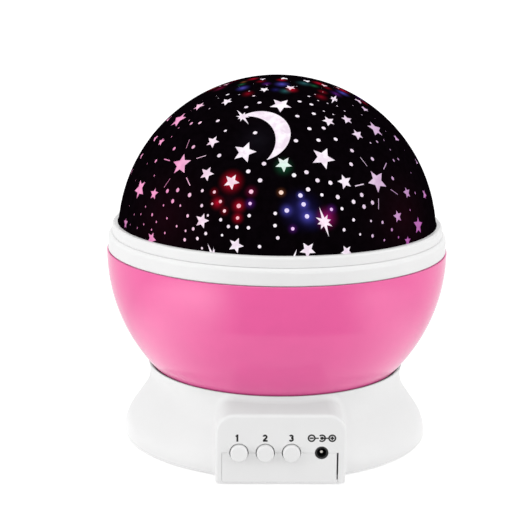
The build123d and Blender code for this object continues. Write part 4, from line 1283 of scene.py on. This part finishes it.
    def shell_material(self, groups: ShaderGroups) -> Material:
        """Frosted plastic, with the lamp's light from behind painted on as emission.

        Args:
            groups: The shared shader groups.

        Returns:
            The material.
        """
        material, bench, shader = new_material("dome_glow")
        moulding = bench.group(groups.moulding, {"Scale": self.shell_grain_scale})
        uneven = bench.noise(bench.place(), self.cloud_scale, self.cloud_detail)
        cloud = bench.blend(bench.spread(uneven, *self.cloud_range, 0.0, 1.0), *self.cloud_tones)
        bench.fill(
            shader,
            {
                "Emission Color": bench.vector("MULTIPLY", self.glow(bench, groups), cloud),
                "Emission Strength": 1.0,
                "Base Color": bench.blend(moulding["Mottle"], *self.shell_tones),
                "Normal": bench.bump(moulding["Height"], self.shell_grain_depth),
                "Roughness": self.shell_roughness,
                "Specular IOR Level": self.shell_specular,
            },
        )
        return material

    def print_material(self, groups: ShaderGroups) -> Material:
        """Black print with the lamp's colours bleeding through around some of its windows.

        Args:
            groups: The shared shader groups.

        Returns:
            The material.
        """
        material, bench, shader = new_material("dome_print_black")
        moulding = bench.group(groups.moulding, {"Scale": self.print_grain_scale})
        total: object = self.print_glow
        for leak in self.leaks:
            mask = self.halo(bench, groups, leak, self.print_falloff)
            total = bench.vector("ADD", total, bench.vector("SCALE", leak.bleed.on_print, mask))
        bench.fill(
            shader,
            {
                "Emission Color": total,
                "Emission Strength": 1.0,
                "Base Color": bench.blend(moulding["Mottle"], *self.print_tones),
                "Normal": bench.bump(moulding["Height"], self.print_grain_depth),
                "Roughness": self.print_roughness,
                "Specular IOR Level": 0.0,
            },
        )
        return material

    def build(self, nodes: dict[str, Object], groups: ShaderGroups) -> None:
        """Dresses the dome's shell and its print."""
        dress([nodes["dome_shell"]], self.shell_material(groups))
        dress([nodes["star_print"]], self.print_material(groups))


# ---------------------------------------------------------------- plain finishes of the CAD nodes


@dataclass
class Housing:
    """Finishes of everything that keeps its CAD shape."""

    white: MouldedPlastic = MouldedPlastic("white_gloss", (0.845, 0.845, 0.845), mottle=0.004, specular=0.2)
    pink: MouldedPlastic = MouldedPlastic(
        "pink_gloss",
        (0.885, 0.115, 0.372),
        mottle=0.012,
        grain_depth=0.000004,
        specular=0.0,
        coat=1.0,
        spill=(0.58, 0.53, 0.55),
    )
    acetal: MouldedPlastic = MouldedPlastic("acetal", (0.82, 0.8, 0.74), roughness=0.45)
    satin_white: MouldedPlastic = MouldedPlastic("satin_white", (0.78, 0.78, 0.78), roughness=0.5)
    rubber: MouldedPlastic = MouldedPlastic(
        "foot_rubber",
        (0.035, 0.035, 0.036),
        roughness=0.85,
        mottle=0.2,
        grain_scale=1800,
        grain_depth=0.00005,
    )
    black: MouldedPlastic = MouldedPlastic(
        "black_satin", (0.012, 0.012, 0.013), roughness=0.4, mottle=0.15
    )
    jacket: MouldedPlastic = MouldedPlastic(
        "cable_jacket", (0.02, 0.02, 0.022), roughness=0.5, mottle=0.15
    )
    plunger: MouldedPlastic = MouldedPlastic("plunger_red", (0.5, 0.06, 0.05), roughness=0.4)
    ink: MouldedPlastic = MouldedPlastic("panel_ink", (0.008, 0.008, 0.008), roughness=0.5, mottle=0.1)
    nickel: DrawnMetal = DrawnMetal("nickel_plate", (0.72, 0.69, 0.63))
    steel: DrawnMetal = DrawnMetal("zinc_steel", (0.6, 0.61, 0.63), roughness=0.35)
    can: DrawnMetal = DrawnMetal("motor_can_sheet", (0.62, 0.62, 0.63), roughness=0.38, stretch=(1, 1, 0.04))
    board: BoardLaminate = BoardLaminate("board_green", (0.015, 0.14, 0.05), (0.05, 0.26, 0.09))
    lamp_board: BoardLaminate = BoardLaminate("board_white", (0.8, 0.8, 0.78), (0.7, 0.69, 0.64), 0.003)

    def build(self, nodes: dict[str, Object], groups: ShaderGroups) -> dict[str, Material]:
        """Dresses the nodes.

        Args:
            nodes: The CAD nodes by name.
            groups: The shared shader groups.

        Returns:
            The finishes by name, for the sub-assemblies that add pieces.
        """
        buttons = ("lamp", "colour", "rotation")
        white_nodes = ("base_housing", "bottom_cover", "battery_door", "bowl_ring", "dome_ring")
        plan: tuple[tuple[MouldedPlastic | DrawnMetal | BoardLaminate, tuple[str, ...]], ...] = (
            (self.white, white_nodes + tuple(f"{name}_button" for name in buttons)),
            (self.pink, ("bowl",)),
            (self.acetal, ("drive_pinion", "turntable_gear", "hub_bush", "hub_retainer")),
            (self.satin_white, ("lamp_post", "led_holder")),
            (self.rubber, ("rubber_feet",)),
            (self.black, ("push_switches", "power_inlet")),
            (self.jacket, ("lamp_cable", "battery_cable", "motor_cable")),
            (self.plunger, tuple(f"{name}_switch_plunger" for name in buttons)),
            (self.nickel, ("battery_contacts", "battery_springs", "inlet_pin", "motor_shaft")),
            (self.can, ("gear_motor",)),
            (self.board, ("control_board",)),
            (self.lamp_board, ("lamp_board",)),
            (self.steel, ()),
            (self.ink, ()),
        )
        made = {}
        for finish, names in plan:
            material = finish.build(groups)
            dress([nodes[name] for name in names], material)
            made[finish.name] = material
            LOG.info("%s on %s", finish.name, ", ".join(names) or "new pieces")
        return made


@dataclass
class Diodes:
    """Finishes of the four light-emitting diodes. Heights are in millimetres."""

    foot_z: float = 78.8
    white_top_z: float = 85.8
    colour_top_z: float = 83.2

    def build(self, nodes: dict[str, Object], groups: ShaderGroups) -> None:
        """Dresses the diodes.

        Args:
            nodes: The CAD nodes by name.
            groups: The shared shader groups.
        """
        for name, tint, glow, top_z in (
            ("white", (0.85, 0.83, 0.7), (1.0, 0.97, 0.9), self.white_top_z),
            ("red", (0.7, 0.05, 0.04), (0.9, 0.05, 0.04), self.colour_top_z),
            ("green", (0.06, 0.55, 0.12), (0.08, 0.8, 0.16), self.colour_top_z),
            ("blue", (0.06, 0.1, 0.65), (0.08, 0.14, 0.9), self.colour_top_z),
        ):
            finish = DiodeEpoxy(f"{name}_epoxy", tint, glow, self.foot_z * MM, top_z * MM)
            dress([nodes[f"{name}_led"]], finish.build(groups))


@dataclass
class Cells:
    """Jackets of the battery cells, with a plain band at each end. Lengths are in metres."""

    jacket: Colour = (0.02, 0.12, 0.05)
    band: Colour = (0.62, 0.45, 0.12)
    metal: Colour = (0.6, 0.6, 0.6)
    band_edge: Range = (0.0102, 0.01)  # where a band starts, from the cell's end
    metal_edge: Range = (0.0034, 0.0032)  # where the bare metal starts
    speckle_shade: float = 0.8  # of the metal
    speckle_share: float = 0.06
    grain_scale: float = 500.0
    roughness: float = 0.3

    def build(self, nodes: dict[str, Object], groups: ShaderGroups) -> None:
        """Dresses the cells: bare metal at their ends, then a coloured band, then the jacket.

        Args:
            nodes: The CAD nodes by name.
            groups: The shared shader groups.
        """
        material, bench, shader = new_material("cell_jacket")
        mottle = bench.group(groups.moulding, {"Scale": self.grain_scale})["Mottle"]
        low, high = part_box("batteries")
        along = bench.add("ShaderNodeSeparateXYZ", {"Vector": bench.place()}).outputs["Y"]
        middle, half = (low.y + high.y) / 2, (high.y - low.y) / 2
        away = bench.math("ABSOLUTE", bench.math("SUBTRACT", along, middle))
        banded, ended = (
            bench.spread(away, *(half - edge for edge in edges), 0.0, 1.0)
            for edges in (self.band_edge, self.metal_edge)
        )
        body = bench.blend(banded, self.jacket, self.band)
        speckled = bench.blend(mottle, body, shaded(self.metal, self.speckle_shade))
        painted = bench.blend(self.speckle_share, body, speckled)
        bench.fill(
            shader,
            {
                "Base Color": bench.blend(ended, painted, self.metal),
                "Metallic": ended,
                "Roughness": self.roughness,
            },
        )
        dress([nodes["batteries"]], material)


# ---------------------------------------------------------------- studio


@dataclass(frozen=True)
class SoftBox:
    """One rectangular studio lamp. Places and sizes are in metres, power in watts."""

    name: str
    place: Place
    size: tuple[float, float]
    power: float


@dataclass(frozen=True)
class MatSpot:
    """Round patch of the mat that shines more. Lengths are in metres."""

    middle: Place
    reach: float
    extra: float


@dataclass
class Studio:
    """Camera, lamps, plain pale floor and an even world. Lengths are in metres, angles in degrees."""

    camera_place: Place = (-0.02406, -0.59915, 0.20944)
    camera_turn: Place = (76.563, -0.713, -1.683)
    lens: float = 107.93  # millimetres, as the sensor
    sensor: float = 36.0
    clip: Range = (0.01, 50.0)
    aim: Place = (0.0, 0.0, 0.07)
    lamps: tuple[SoftBox, ...] = (
        SoftBox("left_box", (-0.85, -0.35, 0.3), (0.6, 0.7), 2.7),
        SoftBox("right_box", (0.85, -0.35, 0.3), (0.6, 0.7), 2.3),
        SoftBox("top_box", (0.0, -0.2, 1.0), (0.8, 0.8), 1.7),
    )
    world_light: float = 0.74

    floor_size: float = 6.0
    floor_z: float = -0.00005
    floor_shade: float = 0.78
    floor_seen_shade: float = 0.8
    floor_glow: float = 0.5
    floor_roughness: float = 0.9
    floor_specular: float = 0.1

    mat_size: float = 2.4
    mat_z: float = 0.0006
    mat_spots: tuple[MatSpot, ...] = (
        MatSpot((-0.19, -0.15, 0.0), 0.19, 2.6),
        MatSpot((-0.1, -0.02, 0.0), 0.09, 0.8),
        MatSpot((0.19, -0.12, 0.0), 0.15, 1.0),
        MatSpot((0.1, -0.03, 0.0), 0.09, 0.5),
    )
    dim_edge: Range = (0.112, 0.119)  # how far from the lamp's axis the dim part starts
    dim_middle: float = 7.0
    dim_half_angle: float = 36.0
    dim_softness: float = 14.0
    dim_level: float = 0.42

    def build(self) -> None:
        """Sets the camera, the lamps, the floor and the world."""
        self._camera()
        for lamp in self.lamps:
            self._lamp(lamp)
        self._floor()
        self._mat()
        self._world()
        bpy.context.scene.view_settings.view_transform = "Standard"

    def _camera(self) -> None:
        """Places the camera."""
        data = bpy.data.cameras.new("camera")
        data.lens, data.sensor_width = self.lens, self.sensor
        data.clip_start, data.clip_end = self.clip
        camera = bpy.data.objects.new("camera", data)
        camera.location = self.camera_place
        camera.rotation_euler = [math.radians(angle) for angle in self.camera_turn]
        bpy.context.scene.collection.objects.link(camera)
        bpy.context.scene.camera = camera

    def _lamp(self, lamp: SoftBox) -> None:
        """Places one lamp, turned to the aim.

        Args:
            lamp: The lamp to place.
        """
        light = bpy.data.lights.new(lamp.name, "AREA")
        light.shape = "RECTANGLE"
        light.size, light.size_y = lamp.size
        light.energy = lamp.power
        box = bpy.data.objects.new(lamp.name, light)
        box.location = lamp.place
        box.rotation_euler = (Vector(self.aim) - Vector(lamp.place)).to_track_quat("-Z", "Y").to_euler()
        bpy.context.scene.collection.objects.link(box)

    @staticmethod
    def _sheet(name: str, size: float, z: float, material: Material) -> Object:
        """Lays a square sheet.

        Args:
            name: The sheet's name.
            size: Its side.
            z: Its height.
            material: Its finish.

        Returns:
            The sheet's object.
        """
        half = size / 2
        mesh = bpy.data.meshes.new(name)
        flat = ((-half, -half), (half, -half), (half, half), (-half, half))
        mesh.from_pydata([(x, y, z) for x, y in flat], [], [(0, 1, 2, 3)])
        mesh.materials.append(material)
        sheet = bpy.data.objects.new(name, mesh)
        bpy.context.scene.collection.objects.link(sheet)
        return sheet

    @staticmethod
    def _seen(bench: Bench) -> Socket:
        """Picks out the rays that show the background: seen, in gloss or through glass.

        Args:
            bench: The bench to work on.

        Returns:
            One for such a ray, else zero.
        """
        path = bench.add("ShaderNodeLightPath").outputs
        glossy = bench.math("MAXIMUM", path["Is Glossy Ray"], path["Is Transmission Ray"])
        return bench.math("MAXIMUM", path["Is Camera Ray"], glossy)

    def _floor(self) -> None:
        """Lays the pale floor, which is open to a view from below."""
        material, bench, shader = new_material("floor_paper")
        seen = self._seen(bench)
        below = bench.add("ShaderNodeNewGeometry").outputs["Backfacing"]
        shades = ((self.floor_shade,) * 3, (self.floor_seen_shade,) * 3)
        bench.fill(
            shader,
            {
                "Base Color": bench.blend(seen, *shades),
                "Emission Color": bench.blend(seen, (0.0, 0.0, 0.0), (1.0, 1.0, 1.0)),
                "Emission Strength": self.floor_glow,
                "Alpha": bench.math("SUBTRACT", 1.0, below),
                "Roughness": self.floor_roughness,
                "Specular IOR Level": self.floor_specular,
            },
        )
        floor = self._sheet("floor", self.floor_size, self.floor_z, material)

    def _mat(self) -> None:
        """Lays a mat that only gloss shows: bright at the sides, dim ahead of the lamp."""
        material, bench, shader = new_material("mat_glow")
        place = bench.place()
        axes = bench.add("ShaderNodeSeparateXYZ", {"Vector": place}).outputs
        level: object = 1.0
        for spot in self.mat_spots:
            away = bench.vector("DISTANCE", place, spot.middle, output="Value")
            level = bench.math("ADD", level, bench.spread(away, 0.0, spot.reach, spot.extra, 0.0))
        turn = bench.math("ARCTAN2", axes["X"], bench.math("MULTIPLY", axes["Y"], -1.0))
        off = bench.math("ABSOLUTE", bench.math("SUBTRACT", turn, math.radians(self.dim_middle)))
        edge, soft = math.radians(self.dim_half_angle), math.radians(self.dim_softness)
        ahead = bench.spread(off, edge - soft, edge + soft, 1.0, 0.0)
        out = bench.spread(bench.vector("LENGTH", place, output="Value"), *self.dim_edge, 0.0, 1.0)
        bright = bench.add("ShaderNodeCombineXYZ", {"X": level, "Y": level, "Z": level}).outputs[0]
        lit = bench.blend(bench.math("MULTIPLY", ahead, out), bright, (self.dim_level,) * 3)
        bench.fill(
            shader,
            {
                "Emission Color": lit,
                "Emission Strength": 1.0,
                "Base Color": (0.0, 0.0, 0.0),
                "Specular IOR Level": 0.0,
            },
        )
        mat = self._sheet("mat", self.mat_size, self.mat_z, material)
        mat.visible_camera = mat.visible_diffuse = mat.visible_shadow = False

    def _world(self) -> None:
        """Lights the scene evenly, with a white background."""
        world = bpy.data.worlds.new("world")
        bpy.context.scene.world = world
        world.use_nodes = True
        world.node_tree.nodes.clear()
        bench = Bench(world.node_tree)
        colour = bench.blend(self._seen(bench), (self.world_light,) * 3, (1.0, 1.0, 1.0))
        background = bench.add("ShaderNodeBackground", {"Color": colour, "Strength": 1.0})
        bench.add("ShaderNodeOutputWorld", {"Surface": background.outputs[0]})


# ---------------------------------------------------------------- main


def main() -> None:
    """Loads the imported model, dresses it and sets the studio."""
    logging.basicConfig(level=logging.INFO, format="%(name)s: %(message)s")
    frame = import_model()
    nodes = frame["nodes"]
    Studio().build()
    groups = ShaderGroups()
    finishes = Housing().build(nodes, groups)
    Dome().build(nodes, groups)
    Diodes().build(nodes, groups)
    Cells().build(nodes, groups)
    PanelMarks().build(finishes["panel_ink"])
    Screws().build(nodes, finishes["zinc_steel"])


if __name__ == "__main__":
    main()
